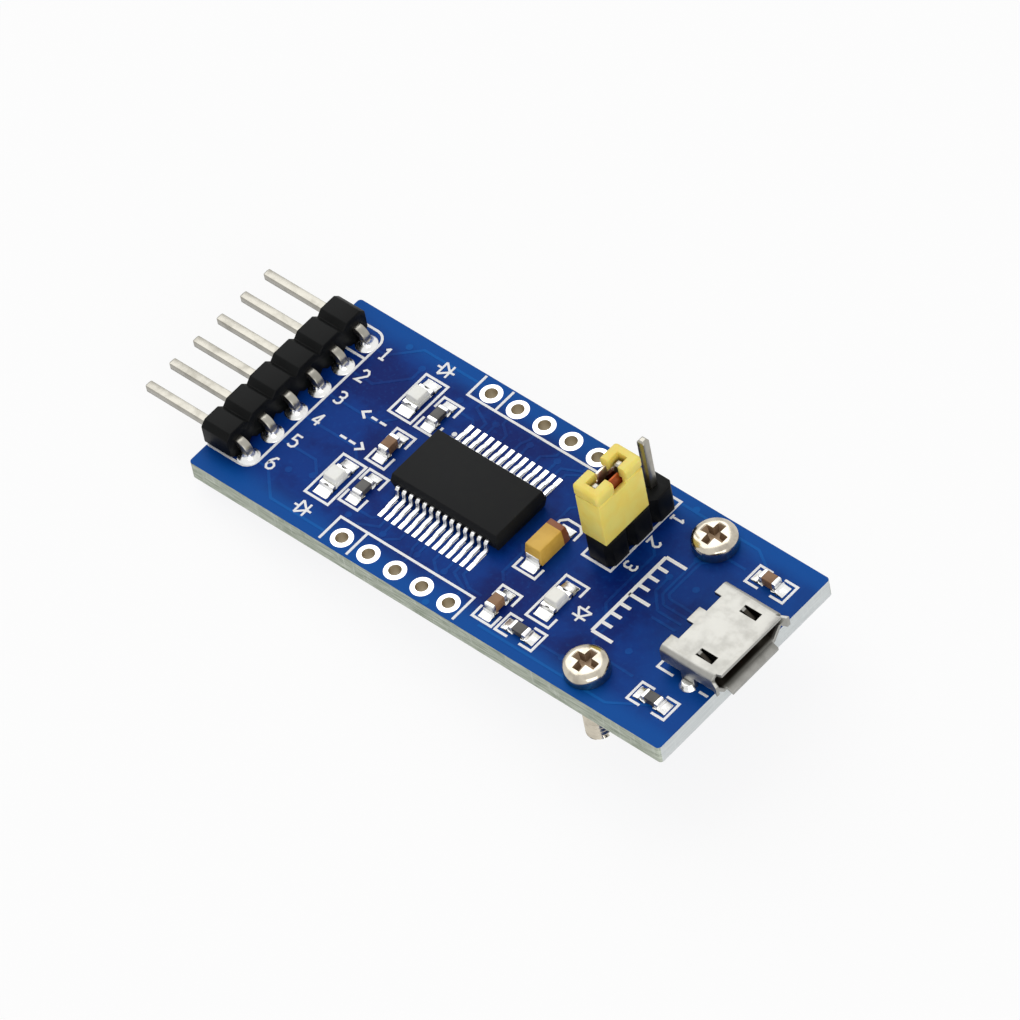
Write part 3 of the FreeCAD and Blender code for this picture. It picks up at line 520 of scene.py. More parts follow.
print("lacquer from", round(BOARD_TOP, 2), "mm up, rings", round(RING_RISE, 3), "mm higher")

# %% [markdown]
# The board's own finish adds what isn't lacquer.  A face that points sideways is the
# cut edge, or the wall of a hole if it lies well inside the outline, and a face a
# little above the lacquer is a ring.

# %% Cut edge, rings and holes
HOLES_WITHIN_Y, HOLES_FROM_X, HOLES_TO_X = 8.8, -35.4, 8.1
LAND_LEVEL = RING_RISE * 0.1
board = lacquered("blue_board")
flat = board.facing().rise(0.4, 0.6)
layers = board.grain(0.11, 2, (0.06, 0.06, 1.0))
fibres = board.grain(0.2, 2, (1.0, 1.0, 0.12))
laminate = board.blend(layers.rise(0.3, 0.7), tint(150, 160, 142), tint(206, 212, 198))
laminate = board.blend(fibres.rise(0.55, 0.8) * 0.5, laminate, tint(226, 230, 222))
snapped = (board.x - (BOARD_HIGH.x - 0.04)).rise(0, 0.03) * 0.75
laminate = board.blend(snapped, laminate, tint(222, 226, 230))
raised = (board.z - (BOARD_TOP + LAND_LEVEL)).rise(0, 0.006)
raised = raised.most((-LAND_LEVEL - board.z).rise(0, 0.006))
inside = (HOLES_WITHIN_Y - board.y.size()).rise(0, 0.05)
inside = inside * (HOLES_TO_X - board.x).rise(0, 0.1) * (board.x - HOLES_FROM_X).rise(0, 0.1)
bore = (1 - flat) * inside * (1 - raised)
surface = board.blend(flat, laminate, board.shade)
surface = board.blend(raised, surface, tint(240, 240, 238))
# Partly painted shade: the walls of the holes are a darker, browner metal than the rings, partly
# oxidised copper and partly painted shade inside the holes.
board.set("Base Color", board.blend(bore, surface, tint(196, 184, 158)))
board.set("Metallic", raised.most(bore))
board.set("Roughness", 0.5 - flat * 0.16 + board.pool * 0.1 - raised * 0.12)
board.relief(board.weave * flat * 0.4 + layers * (1 - flat) + board.pool * flat * 0.4, 0.01, 0.8)
solid_board = NODES["circuit_board"].data.materials
solid_board.clear()
solid_board.append(board.material)
print("board from", [round(c, 2) for c in BOARD_LOW], "to", [round(c, 2) for c in BOARD_HIGH])

# %% [markdown]
# ## Resistors, capacitors and lights
#
# The small parts are ceramic blocks with tinned ends, a pressed tantalum capacitor,
# and three light-emitting parts with a milky lens on a white base.  Each family is
# one finish, and each part is a softened copy of its solids.  The tantalum part has
# a dark band at its positive end.

# %% Ceramic, tantalum and milky epoxy
glaze = moulded("resistor_glaze", tint(50, 48, 46), tint(84, 82, 78), 0.3, 0.1, 0.004)
ceramic = moulded("capacitor_ceramic", tint(150, 112, 78), tint(126, 92, 62), 0.45, 0.07, 0.005)
ochre = moulded("tantalum_ochre", tint(224, 180, 74), tint(208, 162, 58), 0.42, 0.08, 0.005)
BAND_WIDTH = 0.62
band = (ochre.y - (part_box("tantalum_body")[1].y / MM - BAND_WIDTH)).rise(0, 0.04)
ochre.set("Base Color", ochre.blend(band, ochre.shade, tint(134, 74, 34)))
lamp_white = moulded("lamp_laminate", tint(250, 250, 242), tint(240, 240, 228), 0.5, 0.1, 0.003)
lens = moulded(
    "lamp_lens",
    tint(255, 255, 250),
    tint(253, 252, 244),
    0.1,
    0.2,
    0.002,
    Transmission_Weight=0.04,
    IOR=1.5,
)

RESISTORS = ("transmit_resistor", "receive_resistor", "power_resistor", "socket_resistor")
CAPACITORS = ("rear_capacitor", "side_capacitor", "socket_capacitor")
LAMPS = ("transmit_led", "receive_led", "power_led")
for part in RESISTORS:
    softened(part + "_block", part + "_body", 0.03, glaze)
for part in CAPACITORS:
    softened(part + "_block", part + "_body", 0.04, ceramic)
for part in RESISTORS + CAPACITORS:
    softened(part + "_ends", part + "_terminals", 0.04, tin)
for part in LAMPS:
    softened(part + "_laminate", part + "_base", 0.02, lamp_white)
    softened(part + "_dome", part + "_lens", 0.06, lens)
    softened(part + "_ends", part + "_terminals", 0.03, tin)
softened("tantalum_block", "tantalum_body", 0.05, ochre)
softened("tantalum_ends", "tantalum_terminals", 0.03, tin)
softened("part_solder", "solder_fillets", 0.05, solder)

# %% [markdown]
# ## Solder round the pins
#
# Molten solder climbs a pin and spreads over its ring, and freezes in a hollow curve
# like a bell's mouth.  The solid has a plain many-sided cone there.  A circle that is
# pushed up and drawn in again and again gives the curve: one bell is made so, and
# each pin gets its own copy.

# %% One bell of solder, pushed up ring by ring
def turned(x, y, z, radius, rings, around=28):
    """A round piece from a disc at z, pushed along ring by ring to (climb, radius)."""
    place = Vector((x, y, z)) * MM
    bpy.ops.mesh.primitive_circle_add(
        vertices=around, radius=radius * MM, location=place, fill_type="NGON"
    )
    piece = laid()
    bpy.ops.object.mode_set(mode="EDIT")
    bpy.ops.mesh.select_mode(type="FACE")
    bpy.ops.mesh.select_all(action="SELECT")
    for climb, ring in rings:
        bpy.ops.mesh.extrude_region_move(TRANSFORM_OT_translate={"value": (0, 0, climb * MM)})
        bpy.ops.transform.resize(value=(ring / radius, ring / radius, 1), center_override=place)
        radius = ring
    bpy.ops.mesh.select_all(action="SELECT")
    bpy.ops.mesh.normals_make_consistent(inside=False)
    leave()
    return smooth(piece, 40)


BELL_FOOT = 0.88
BELL_CURVE = ((0.06, 0.86), (0.12, 0.72), (0.2, 0.57), (0.26, 0.47), (0.24, 0.43), (0.12, 0.4))


def bell(x, y, z, height):
    """Solder round a pin at x, y, up from z, or down where the height is below 0."""
    return turned(x, y, z, BELL_FOOT, [(height * share, ring) for share, ring in BELL_CURVE])


def joined(pieces, name):
    bpy.ops.object.select_all(action="DESELECT")
    for piece in pieces:
        piece.select_set(True)
    bpy.context.view_layer.objects.active = pieces[0]
    bpy.ops.object.join()
    pieces[0].name = name
    return pieces[0]


def trimmed(piece, x):
    """Cuts a piece flat at x and closes it, where the strip's plastic stands in its way."""
    whole(piece)
    cut = {"plane_co": (x * MM, 0, 0), "plane_no": (1, 0, 0)}
    bpy.ops.mesh.bisect(**cut, use_fill=True, clear_inner=True)
    leave()
    return piece


print("a bell is", BELL_FOOT * 2, "mm wide at its foot")

# %% [markdown]
# A pin's tail stands in the middle of its ring, so the bells take their places from
# the pins' own boxes.  The rear strip stands close behind its pins, so the bells on
# top of the board are cut flat there.

# %% A bell for every pin
HALF_PIN, STRIP_GAP = 0.32, 0.005
BELL_UP, BELL_DOWN = 0.56, -0.8


def middles(prefix, total):
    """Where the tails of a row of pins go through the board."""
    boxes = [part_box(f"{prefix}_{index}") for index in range(1, total + 1)]
    return [(high.x / MM - HALF_PIN, (low.y + high.y) / 2 / MM) for low, high in boxes]


bent_tails = middles("header_pin", 6)
upright_tails = middles("select_pin", 3)
HEADER_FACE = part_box("header_housing")[1].x / MM + STRIP_GAP
above = [trimmed(bell(x, y, BOARD_TOP, BELL_UP), HEADER_FACE) for x, y in bent_tails]
below = [bell(x, y, 0, BELL_DOWN) for x, y in bent_tails]
settle(joined(above + below, "header_bells"), solder, stands_for=["header_solder"])
below = [bell(x, y, 0, BELL_DOWN) for x, y in upright_tails]
settle(joined(below, "select_bells"), solder, stands_for=["select_solder"])

# %% [markdown]
# ## Solder at the chip's leads
#
# Each lead lies on its own pad, and solder runs from the lead's toe down to the
# pad.  One wedge is a cube whose outer top edge is pushed down, and an Array
# modifier repeats it along the row.

# %% Pads with a wedge of solder at each toe
LEAD_PITCH, LEADS_IN_ROW = 0.65, 14
HALF_PAD, WEDGE_SIZE, WEDGE_DROP = 0.18, (0.31, 0.46, 0.14), 0.1
sharp = math.radians(SHARP_FROM)
pads_low, pads_high = (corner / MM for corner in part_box("chip_pads"))
toes_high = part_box("chip_leads")[1] / MM
pieces = [copied("pads", "chip_pads")]
treat(pieces[0], "BEVEL", width=0.015 * MM, segments=1, limit_method="ANGLE", angle_limit=sharp)
for side in (1, -1):
    place = Vector((pads_low.x + HALF_PAD, side * (toes_high.y + 0.2), pads_high.z + 0.05))
    bpy.ops.mesh.primitive_cube_add(size=MM, location=place * MM, scale=WEDGE_SIZE)
    wedge = laid()
    outer = place.y * side
    pick(wedge, "VERT", lambda spot, normal: spot.y * side > outer and spot.z > place.z)
    bpy.ops.transform.translate(value=(0, 0, -WEDGE_DROP * MM))
    leave()
    treat(wedge, "BEVEL", width=0.03 * MM, segments=2)
    treat(
        wedge,
        "ARRAY",
        count=LEADS_IN_ROW,
        use_relative_offset=False,
        use_constant_offset=True,
        constant_offset_displace=(LEAD_PITCH * MM, 0, 0),
    )
    pieces.append(smooth(wedge, 50))
settle(joined(pieces, "lead_solder"), solder, stands_for=["chip_pads"])

# %% [markdown]
# ## The screws
#
# A pan head is forged: a low drum with a round shoulder and a shallow crown, and a
# cross that tapers as it goes down.  The solid has a sharp shoulder and a plain
# shank, so the screw is made anew.  The head is pushed up ring by ring, a cross is
# cut out of it, and a zigzag that is swept down round the shank makes a real thread.

# %% The cross and the thread
def cross_cutter(low, high, reach, width, taper):
    """A cross round the z axis, grown from the four sides of a cube and narrower below."""
    centre = Vector((0, 0, (low + high) / 2))
    size = (width, width, high - low)
    bpy.ops.mesh.primitive_cube_add(size=MM, location=centre * MM, scale=size)
    piece = laid()
    arm = reach - width / 2
    for way in (Vector((1, 0, 0)), Vector((0, 1, 0)), Vector((-1, 0, 0)), Vector((0, -1, 0))):
        pick(
            piece,
            "FACE",
            lambda spot, normal: normal.dot(way) > 0.9 and (spot - centre).cross(way).length < 0.05,
        )
        bpy.ops.mesh.extrude_region_move(TRANSFORM_OT_translate={"value": tuple(way * arm * MM)})
        leave()
    pick(piece, "VERT", lambda spot, normal: spot.z < low + 0.01)
    bpy.ops.transform.resize(value=(taper, taper, 1), center_override=centre * MM)
    leave()
    return piece


def thread(core, crest, pitch, high, low):
    """A thread down the z axis, cut flat at both ends."""
    bpy.ops.mesh.primitive_plane_add(size=MM, location=(core * MM, 0, (high + pitch) * MM))
    piece = laid()
    bpy.ops.object.mode_set(mode="EDIT")
    bpy.ops.mesh.select_mode(type="VERT")
    bpy.ops.mesh.merge(type="CENTER")
    slope, flat_part = pitch * 0.42, pitch * 0.16
    for out, down in ((crest - core, slope), (0, flat_part), (core - crest, slope)):
        step = (out * MM, 0, -down * MM)
        bpy.ops.mesh.extrude_vertices_move(TRANSFORM_OT_translate={"value": step})
    leave()
    treat(
        piece,
        "SCREW",
        screw_offset=-pitch * MM,
        iterations=math.ceil((high - low) / pitch) + 3,
        steps=24,
        render_steps=24,
        use_merge_vertices=True,
    )
    for height, way in ((high, 1), (low, -1)):
        whole(piece)
        cut = {"plane_co": (0, 0, height * MM), "plane_no": (0, 0, way)}
        bpy.ops.mesh.bisect(**cut, use_fill=True, clear_outer=True)
        leave()
    whole(piece)
    bpy.ops.mesh.normals_make_consistent(inside=False)
    leave()
    return smooth(piece, 40)


print("a cross can be cut and a thread swept")

# %% [markdown]
# The head's rings climb steeply to the shoulder and then run almost level.  Their
# heights are stretched so that the crown ends exactly where the solid's does.

# %% One screw
screw_low, screw_high = (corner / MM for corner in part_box("mounting_screw_1"))
SCREW_Y = (screw_low.y + screw_high.y) / 2
HEAD_RINGS = [(0, 1.66), (0.06, 1.74), (0.58, 1.735), (0.2, 1.71), (0.13, 1.65), (0.1, 1.55)]
HEAD_RINGS += [(0.08, 1.4), (0.06, 1.2), (0.05, 0.95), (0.03, 0.7), (0.01, 0.4)]
NECK, NECK_LOW, TIP = 0.95, -0.4, 0.3
CORE, CREST, PITCH, THREAD_TOP = 0.8, 0.995, 0.4, -0.02
CROSS_REACH, CROSS_WIDTH, CROSS_DEPTH, CROSS_TAPER = 1.18, 0.74, 0.75, 0.6
stretch = (screw_high.z - BOARD_TOP) / sum(climb for climb, _ in HEAD_RINGS)
rings = [(BOARD_TOP - NECK_LOW, NECK)] + [(climb * stretch, ring) for climb, ring in HEAD_RINGS]
screw = turned(0, 0, NECK_LOW, NECK, rings, 48)
cross_low, cross_high = screw_high.z - CROSS_DEPTH, screw_high.z + 0.25
cutter = cross_cutter(cross_low, cross_high, CROSS_REACH, CROSS_WIDTH, CROSS_TAPER)
treat(screw, "BOOLEAN", operation="DIFFERENCE", solver="EXACT", object=cutter)
bpy.data.objects.remove(cutter)
sharp = math.radians(40)
treat(screw, "BEVEL", width=0.03 * MM, segments=2, limit_method="ANGLE", angle_limit=sharp)
shank = thread(CORE, CREST, PITCH, THREAD_TOP, screw_low.z + TIP)
tip = turned(0, 0, screw_low.z, 0.6, [(TIP * 0.7, 0.82), (TIP * 0.3 + 0.02, 0.84)])
screw = smooth(joined([screw, shank, tip], "pan_screw_1"), 40)
print("the screw's head is", round(screw_high.z - BOARD_TOP, 2), "mm high")

# %% [markdown]
# The cross holds painted shade: the finish is painted darker, and made rougher, where a
# point lies near the axis and below the crown, as the recess lies in shade.  The second
# screw is a copy with a mesh of its own.

# %% The painted shade in the recess, and the second screw
RECESS_EDGE, CROWN_FALL, CROWN_GAP = 1.5, 0.06, 0.06
off_axis = screw_metal.y.size() - abs(SCREW_Y)
off_axis = screw_metal.x * screw_metal.x + off_axis * off_axis
below_crown = screw_high.z - off_axis * CROWN_FALL - CROWN_GAP - screw_metal.z
# Painted shade: the recess of the cross is painted a dark brown for the shade in it.
recess_painted_shade = (RECESS_EDGE - off_axis).rise(0, 0.1) * below_crown.rise(0, 0.06)
recess_painted_shade = recess_painted_shade * (screw_metal.z - BOARD_TOP).rise(0, 0.1)
screw_metal.set("Base Color", screw_metal.blend(recess_painted_shade, screw_metal.shade, tint(146, 126, 104)))
screw_metal.set("Roughness", recess_painted_shade * 0.35 + 0.18)
hold(screw)
bpy.ops.object.duplicate()
other = bpy.context.object
other.name = "pan_screw_2"
screw.location.y, other.location.y = SCREW_Y * MM, -SCREW_Y * MM
for index, piece in ((1, screw), (2, other)):
    settle(piece, screw_metal, stands_for=[f"mounting_screw_{index}"])

# %% [markdown]
# ## Lines on the board
#
# Copper tracks and white print are both thin ribbons on the board's face.  A texture
# could draw them, but would blur close up and has no edge to catch the light, so
# each is a real ribbon a few hundredths of a millimetre high.
#
# A ribbon starts as a single point.  Pushing the point along its path leaves a line
# of edges, pulling that line up makes a low wall, and a Solidify modifier then
# thickens the wall to the ribbon's width, which also mitres its corners.  Where two
# ribbons meet or cross, they lie a micron or two apart in height, as ink on ink does,
# because two faces in exactly the same plane show as black specks.

# %% Ribbons drawn by pushing a point
LAYERS, LAYER_STEP = 5, 0.0015


def ribbons(name, paths, width, base, height):
    """Raised ribbons along paths of board points, all in one piece."""
    bpy.ops.mesh.primitive_plane_add(size=MM, location=(0, 0, base * MM))
    piece = laid()
    piece.name = name
    bpy.ops.object.mode_set(mode="EDIT")
    bpy.ops.mesh.select_mode(type="VERT")
    bpy.ops.mesh.merge(type="CENTER")
    pen = Vector((0, 0, 0))
    for number, path in enumerate(paths):
        layer = number % LAYERS * LAYER_STEP
        points = [Vector((x, y, layer)) for x, y in path]
        step = (points[0] - pen) * MM
        if number == 0:
            bpy.ops.transform.translate(value=step)
        else:
            bpy.ops.mesh.duplicate_move(TRANSFORM_OT_translate={"value": tuple(step)})
        for start, end in zip(points, points[1:]):
            step = (end - start) * MM
            bpy.ops.mesh.extrude_vertices_move(TRANSFORM_OT_translate={"value": tuple(step)})
        pen = points[-1]
    bpy.ops.mesh.select_all(action="SELECT")
    bpy.ops.mesh.extrude_edges_move(TRANSFORM_OT_translate={"value": (0, 0, height * MM)})
    leave()
    return treat(piece, "SOLIDIFY", thickness=width * MM, offset=0, use_even_offset=True)


# %% [markdown]
# ## The white print
#
# Print on a board is ink pressed through a mesh.  It frames each part, rings the
# header's corner and numbers its pins.
#
# All places are in millimetres from the board's middle, and move to the origin between
# the screws when they are drawn.  A part's frame is two brackets, open in the middle
# of its long sides, so one function draws them all.

# %% Frames, rows and arrows
FRAME_GAP = 1.1


def brackets(low_x, high_x, low_y, high_y, along="y"):
    """Two facing brackets round a part, with a gap in the middle of the long sides."""
    if along == "x":
        turned_pair = brackets(low_y, high_y, low_x, high_x)
        return [[(x, y) for y, x in path] for path in turned_pair]
    middle = (low_y + high_y) / 2
    near, far = middle - FRAME_GAP / 2, middle + FRAME_GAP / 2
    return [
        [(low_x, near), (low_x, low_y), (high_x, low_y), (high_x, near)],
        [(low_x, far), (low_x, high_y), (high_x, high_y), (high_x, far)],
    ]


def box_line(low_x, high_x, low_y, high_y):
    """A whole frame.  It starts in the middle of a side, so that all corners are mitred."""
    start = ((low_x + high_x) / 2, low_y)
    return [[start, (high_x, low_y), (high_x, high_y), (low_x, high_y), (low_x, low_y), start]]


def corner_arc(x, y, radius, start, steps=5):
    """A quarter circle of points round x, y, from the start angle on."""
    turns = [math.radians(start + 90 * step / steps) for step in range(steps + 1)]
    return [(x + radius * math.cos(turn), y + radius * math.sin(turn)) for turn in turns]


frames = brackets(-11.1, -9.3, 2.6, 5.85)
frames += brackets(-11.1, -9.3, -5.55, -2.2)
frames += brackets(-12.0, -10.25, -1.65, 1.75)
frames += brackets(3.7, 5.5, -7.9, -4.6)
frames += brackets(5.85, 9.25, -7.9, -6.2, "x")
frames += brackets(17.5, 20.95, 5.6, 7.3, "x")
frames += brackets(17.5, 20.9, -7.1, -5.4, "x")
frames += box_line(-13.6, -11.5, 2.6, 6.7)
frames += box_line(-13.6, -11.4, -6.4, -2.25)
frames += [[(8.9, -2.3), (8.9, -1.3), (6.8, -1.3), (6.8, -5.65), (8.9, -5.65), (8.9, -4.7)]]
frames += [[(3.2, -1.9), (3.2, -2.9), (5.2, -2.9), (5.2, -1.9)]]
frames += [[(3.2, 1.3), (3.2, 2.15), (3.6, 2.55), (4.8, 2.55), (5.2, 2.15), (5.2, 1.3)]]
frames += box_line(6.5, 9.15, 0.75, 8.4)
frames += [[(-9.9, 9.1), (-9.9, 7.0), (2.8, 7.0), (2.8, 9.1)], [(-7.3, 7.0), (-7.3, 9.1)]]
frames += [[(-9.9, -9.0), (-9.9, -6.65), (2.8, -6.65), (2.8, -9.0)], [(-7.3, -6.65), (-7.3, -9.0)]]
frames += [[(17.45, -3.0), (17.45, -3.75), (18.9, -3.75)], [(21.3, -3.75), (22.1, -3.75)]]
frames += [[(17.45, 3.0), (17.45, 3.75), (18.9, 3.75)], [(21.3, 3.75), (22.1, 3.75)]]
header_ring = [(-20.3, 7.68)] + corner_arc(-19.15, 6.73, 0.95, 0)[::-1]
header_ring += corner_arc(-19.15, -6.3, 0.95, 270)[::-1] + [(-22.3, -7.25)]
frames += [header_ring, [(-20.1, 5.2), (-18.3, 5.2)]]
frames += [[(-14.55, 1.85), (-15.05, 1.45), (-14.55, 1.05)], [(-14.2, 1.45), (-13.65, 1.45)]]
frames += [[(-13.4, 1.45), (-12.8, 1.45)]]
frames += [[(-13.25, -0.7), (-12.75, -1.1), (-13.25, -1.5)], [(-14.1, -1.1), (-13.5, -1.1)]]
frames += [[(-14.95, -1.1), (-14.35, -1.1)]]
print(len(frames), "printed lines")

# %% [markdown]
# The header's pins are numbered from one to six and the upright header's from one to
# three.  A numeral is a few strokes in a box one high and just over half as wide, and
# the second row is turned to be read from the board's side.  A plain millimetre scale
# fills the open space before the socket, and a diode sign stands by each lamp.

# %% Numerals, signs and a scale
STROKES = {
    1: [[(0.1, 0.8), (0.32, 1)], [(0.32, 1.06), (0.32, 0)], [(0.1, 0), (0.54, 0)]],
    2: [[(0.05, 0.8), (0.2, 1), (0.42, 1), (0.57, 0.8), (0.57, 0.62), (0.05, 0), (0.6, 0)]],
    3: [
        [(0.05, 0.9), (0.2, 1), (0.42, 1), (0.57, 0.86), (0.57, 0.66), (0.44, 0.53), (0.2, 0.53)],
        [(0.44, 0.53), (0.57, 0.4), (0.57, 0.14), (0.42, 0), (0.2, 0), (0.05, 0.1)],
    ],
    4: [[(0.45, 0), (0.45, 1.04)], [(0.45, 1), (0.05, 0.32)], [(0, 0.3), (0.64, 0.3)]],
    5: [
        [(0.55, 1), (0.1, 1), (0.07, 0.57), (0.4, 0.6), (0.57, 0.43), (0.57, 0.15), (0.4, 0)]
        + [(0.18, 0), (0.05, 0.1)]
    ],
    6: [
        [(0.5, 0.98), (0.3, 0.98), (0.05, 0.6), (0.05, 0.2), (0.2, 0), (0.42, 0), (0.57, 0.15)]
        + [(0.57, 0.4), (0.42, 0.55), (0.2, 0.55), (0.05, 0.4)]
    ],
}
DIODE_SIGN = [[(0, 0.5), (0.35, 0.5)], [(0.35, 0), (0.35, 1)], [(0.35, 1), (0.95, 0.5)]]
DIODE_SIGN += [[(0.35, 0), (0.95, 0.5)], [(0.95, 0), (0.95, 1)], [(0.95, 0.5), (1.3, 0.5)]]


def placed(strokes, x, y, height, sideways=False):
    """Strokes scaled to a height at x, y, upright or turned a quarter clockwise."""
    if sideways:
        return [[(x + v * height, y - u * height) for u, v in path] for path in strokes]
    return [[(x + u * height, y + v * height) for u, v in path] for path in strokes]


figures = []
for place, number in enumerate(range(1, 7)):
    figures += placed(STROKES[number], -17.6, 5.85 - 2.45 * place, 1.1)
for place, number in enumerate(range(1, 4)):
    figures += placed(STROKES[number], 9.5, 7.35 - 2.54 * place, 1.0, True)
figures += placed(DIODE_SIGN, -13.45, 7.2, 1.2) + placed(DIODE_SIGN, -13.45, -8.25, 1.2)
figures += placed(DIODE_SIGN, 9.4, -2.5, 1.2, True)
SCALE_X, LONG_MARK, SHORT_MARK = 11.55, 1.9, 1.0
scale = [[(SCALE_X, 4.0), (SCALE_X, -4.0)]]
for step in range(9):
    mark = LONG_MARK if step in (0, 4, 8) else SHORT_MARK
    scale += [[(SCALE_X, 4.0 - step), (SCALE_X + mark, 4.0 - step)]]
print(len(figures), "strokes and", len(scale), "lines of the scale")

# %% [markdown]
# The ink is a dense matt white, a little thinner in small spots where the threads of
# the mesh were, so that some blue shows through.

# %% The ink, and all the print
MIDDLE_X = -13.67
PRINT_BASE, PRINT_HEIGHT = BOARD_TOP + 0.004, 0.026
PRINTS = (
    ("printed_frames", frames, 0.2),
    ("printed_figures", figures, 0.17),
    ("printed_scale", scale, 0.28),
)
ink = Finish("white_ink", Roughness=0.62)
speckle = ink.grain(0.12, 3)
thin = speckle.rise(0.62, 0.85) * 0.4
ink.set("Base Color", ink.blend(thin, tint(255, 255, 255), tint(196, 210, 232)))
ink.relief(speckle, 0.006, 0.6)


def on_board(paths):
    """Moves paths measured from the board's middle to the origin between the screws."""
    return [[(x + MIDDLE_X, y) for x, y in path] for path in paths]


for name, paths, width in PRINTS:
    settle(ribbons(name, on_board(paths), width, PRINT_BASE, PRINT_HEIGHT), ink)

# %% [markdown]
# A round spot of ink marks the chip's first lead.  The small holes that join the
# copper of both faces are covered by lacquer, and show as low rings with a dimple.
# Both start as a short cylinder, and the ring's top is inset and pushed down.

# %% Round spots and covered holes
def spots(name, places, radius, base, height, dimple=0):
    """Low discs at these places, with a dimple in the top if one is asked for."""
    made = []
    for x, y in on_board([places])[0]:
        place = (x * MM, y * MM, (base + height / 2) * MM)
        bpy.ops.mesh.primitive_cylinder_add(
            vertices=20, radius=radius * MM, depth=height * MM, location=place
        )
        disc = laid()
        pick(disc, "FACE", lambda middle, normal: normal.z > 0.9)
        bpy.ops.mesh.inset(thickness=radius * (0.45 if dimple else 0.12) * MM)
        bpy.ops.transform.translate(value=(0, 0, (-dimple if dimple else 0.004) * MM))
        leave()
        made.append(disc)
    return joined(made, name)


settle(spots("first_lead_spot", [(-8.24, 3.7)], 0.2, PRINT_BASE, PRINT_HEIGHT), ink)

# %% [markdown]
# ## Copper under the lacquer
#
# The tracks join the chip's leads to the holes and the small parts.  They are
# ribbons too, lower than the print, in the same lacquer but a shade lighter, because
# copper shows through it.

# %% Tracks between the leads, the holes and the parts
FIRST_LEAD, FIRST_HOLE, HOLE_PITCH = -7.685, -8.55, 2.54
LEADS = [FIRST_LEAD + LEAD_PITCH * place for place in range(LEADS_IN_ROW)]
HOLES = [FIRST_HOLE + HOLE_PITCH * place for place in range(5)]
TO_HOLES = [LEADS[number] for number in (1, 4, 6, 9, 12)]
TO_JOINTS = [LEADS[number] for number in (2, 7, 11)]
one_side = [
    [(hole, 7.1), (hole, 6.45), (lead, 5.75), (lead, 5.1)] for hole, lead in zip(HOLES, TO_HOLES)
]
one_side += [[(LEADS[0], 5.1), (LEADS[0] - 0.35, 5.45), (-9.3, 5.45)]]
one_side += [[(lead, 3.1), (lead, 5.9)] for lead in TO_JOINTS]
one_side += [
    [(LEADS[13], 5.1), (LEADS[13], 5.5), (1.9, 6.2), (3.1, 6.2)],
    [(-18.2, 6.35), (-17.2, 6.35), (-15.2, 8.3), (-9.75, 8.3)],
    [(4.6, 8.3), (16.5, 8.3), (19.8, 6.3)],
]
tracks = [[(x, y * side) for x, y in path] for side in (1, -1) for path in one_side]
tracks += [
    [(-12.55, 2.4), (-13.6, 1.27), (-18.2, 1.27)],
    [(-12.5, -2.1), (-13.3, -1.27), (-18.2, -1.27)],
    [(-18.2, 3.81), (-16.2, 3.81), (-14.2, 5.8), (-14.2, 6.7)],
    [(-18.2, -3.81), (-14.9, -3.81), (-13.9, -4.8)],
    [(2.4, 0.6), (3.0, 1.2), (3.0, 3.4), (6.2, 6.5)],
    [(2.4, -1.0), (2.9, -1.5), (2.9, -3.7), (3.5, -4.3)],
    [(9.9, 4.5), (10.75, 3.65), (10.75, -1.6), (12.2, -3.1)]
    + [(12.2, -4.6), (13.0, -5.4), (16.6, -5.4)],
]
tracks += [[(14.2, y), (16.4, y)] for y in (1.3, 0.65, 0.0, -0.65)]
tracks += [
    [(14.2, 1.3), (13.9, 1.6), (13.9, 5.0), (15.3, 6.4), (16.9, 6.4)],
    [(9.4, -7.05), (11.2, -7.05)],
    [(14.2, 0.65), (13.5, 1.35), (13.5, 4.9)],
    [(14.2, 0.0), (12.9, 1.3), (12.9, 2.6)],
]
print(len(tracks), "tracks")

# %% [markdown]
# A track that goes through to the other face ends in a covered hole, and a few more
# holes join the copper areas of both faces.

# %% Raise the tracks and the covered holes
COPPER_BASE, TRACK_WIDTH, HOLE_RADIUS = BOARD_TOP + 0.001, 0.22, 0.28
copper = lacquered("blue_over_copper", 16)
tracks = ribbons("copper_tracks", on_board(tracks), TRACK_WIDTH, COPPER_BASE, 0.012)
settle(tracks, copper)
joints = [(-14.2, 6.9), (-14.1, -5.0), (13.5, 5.1), (12.9, 2.8), (11.4, -7.05)]
joints += [(6.3, 6.7), (-10.0, 6.3), (-9.6, -6.2)]
joints += [(lead, 6.1 * side) for side in (1, -1) for lead in TO_JOINTS]
joints += [(-15.9, -5.6), (-16.3, 7.9), (10.5, 8.5), (14.9, -3.9), (15.2, 3.0)]
joints += [(4.0, 0.2), (0.2, -8.9), (12.6, 6.1)]
joints = spots("covered_holes", joints, HOLE_RADIUS, COPPER_BASE, 0.014, 0.01)
settle(joints, copper)

# %% [markdown]
# ## The floor and the light
#
# The module lies on a white table, tipped a little on its two screws and the ends
# of its header pins.  Light comes from a large soft window on the header's side.
# The table and the sky are white because of their own colour, as seen by the camera
# and in the metal, and never because more light is put on the object.

# %% Lay the table top
TIP_SLOPE, FLOOR_Z = 0.116, -5.28
bpy.ops.mesh.primitive_grid_add(
    x_subdivisions=2,
    y_subdivisions=2,
    size=1.2,
    location=(0, 0, FLOOR_Z * MM),
    rotation=(0, math.atan(TIP_SLOPE), 0),
)
floor = laid()
floor.name = "table_top"


def seen_directly(finish):
    """1 where the camera, a mirror or clear plastic looks, and 0 for soft light."""
    camera_ray = finish.node("ShaderNodeLightPath", {}, {}, "Is Camera Ray")
    mirror_ray = finish.node("ShaderNodeLightPath", {}, {}, "Is Glossy Ray")
    clear_ray = finish.node("ShaderNodeLightPath", {}, {}, "Is Transmission Ray")
    return camera_ray.most(mirror_ray).most(clear_ray)


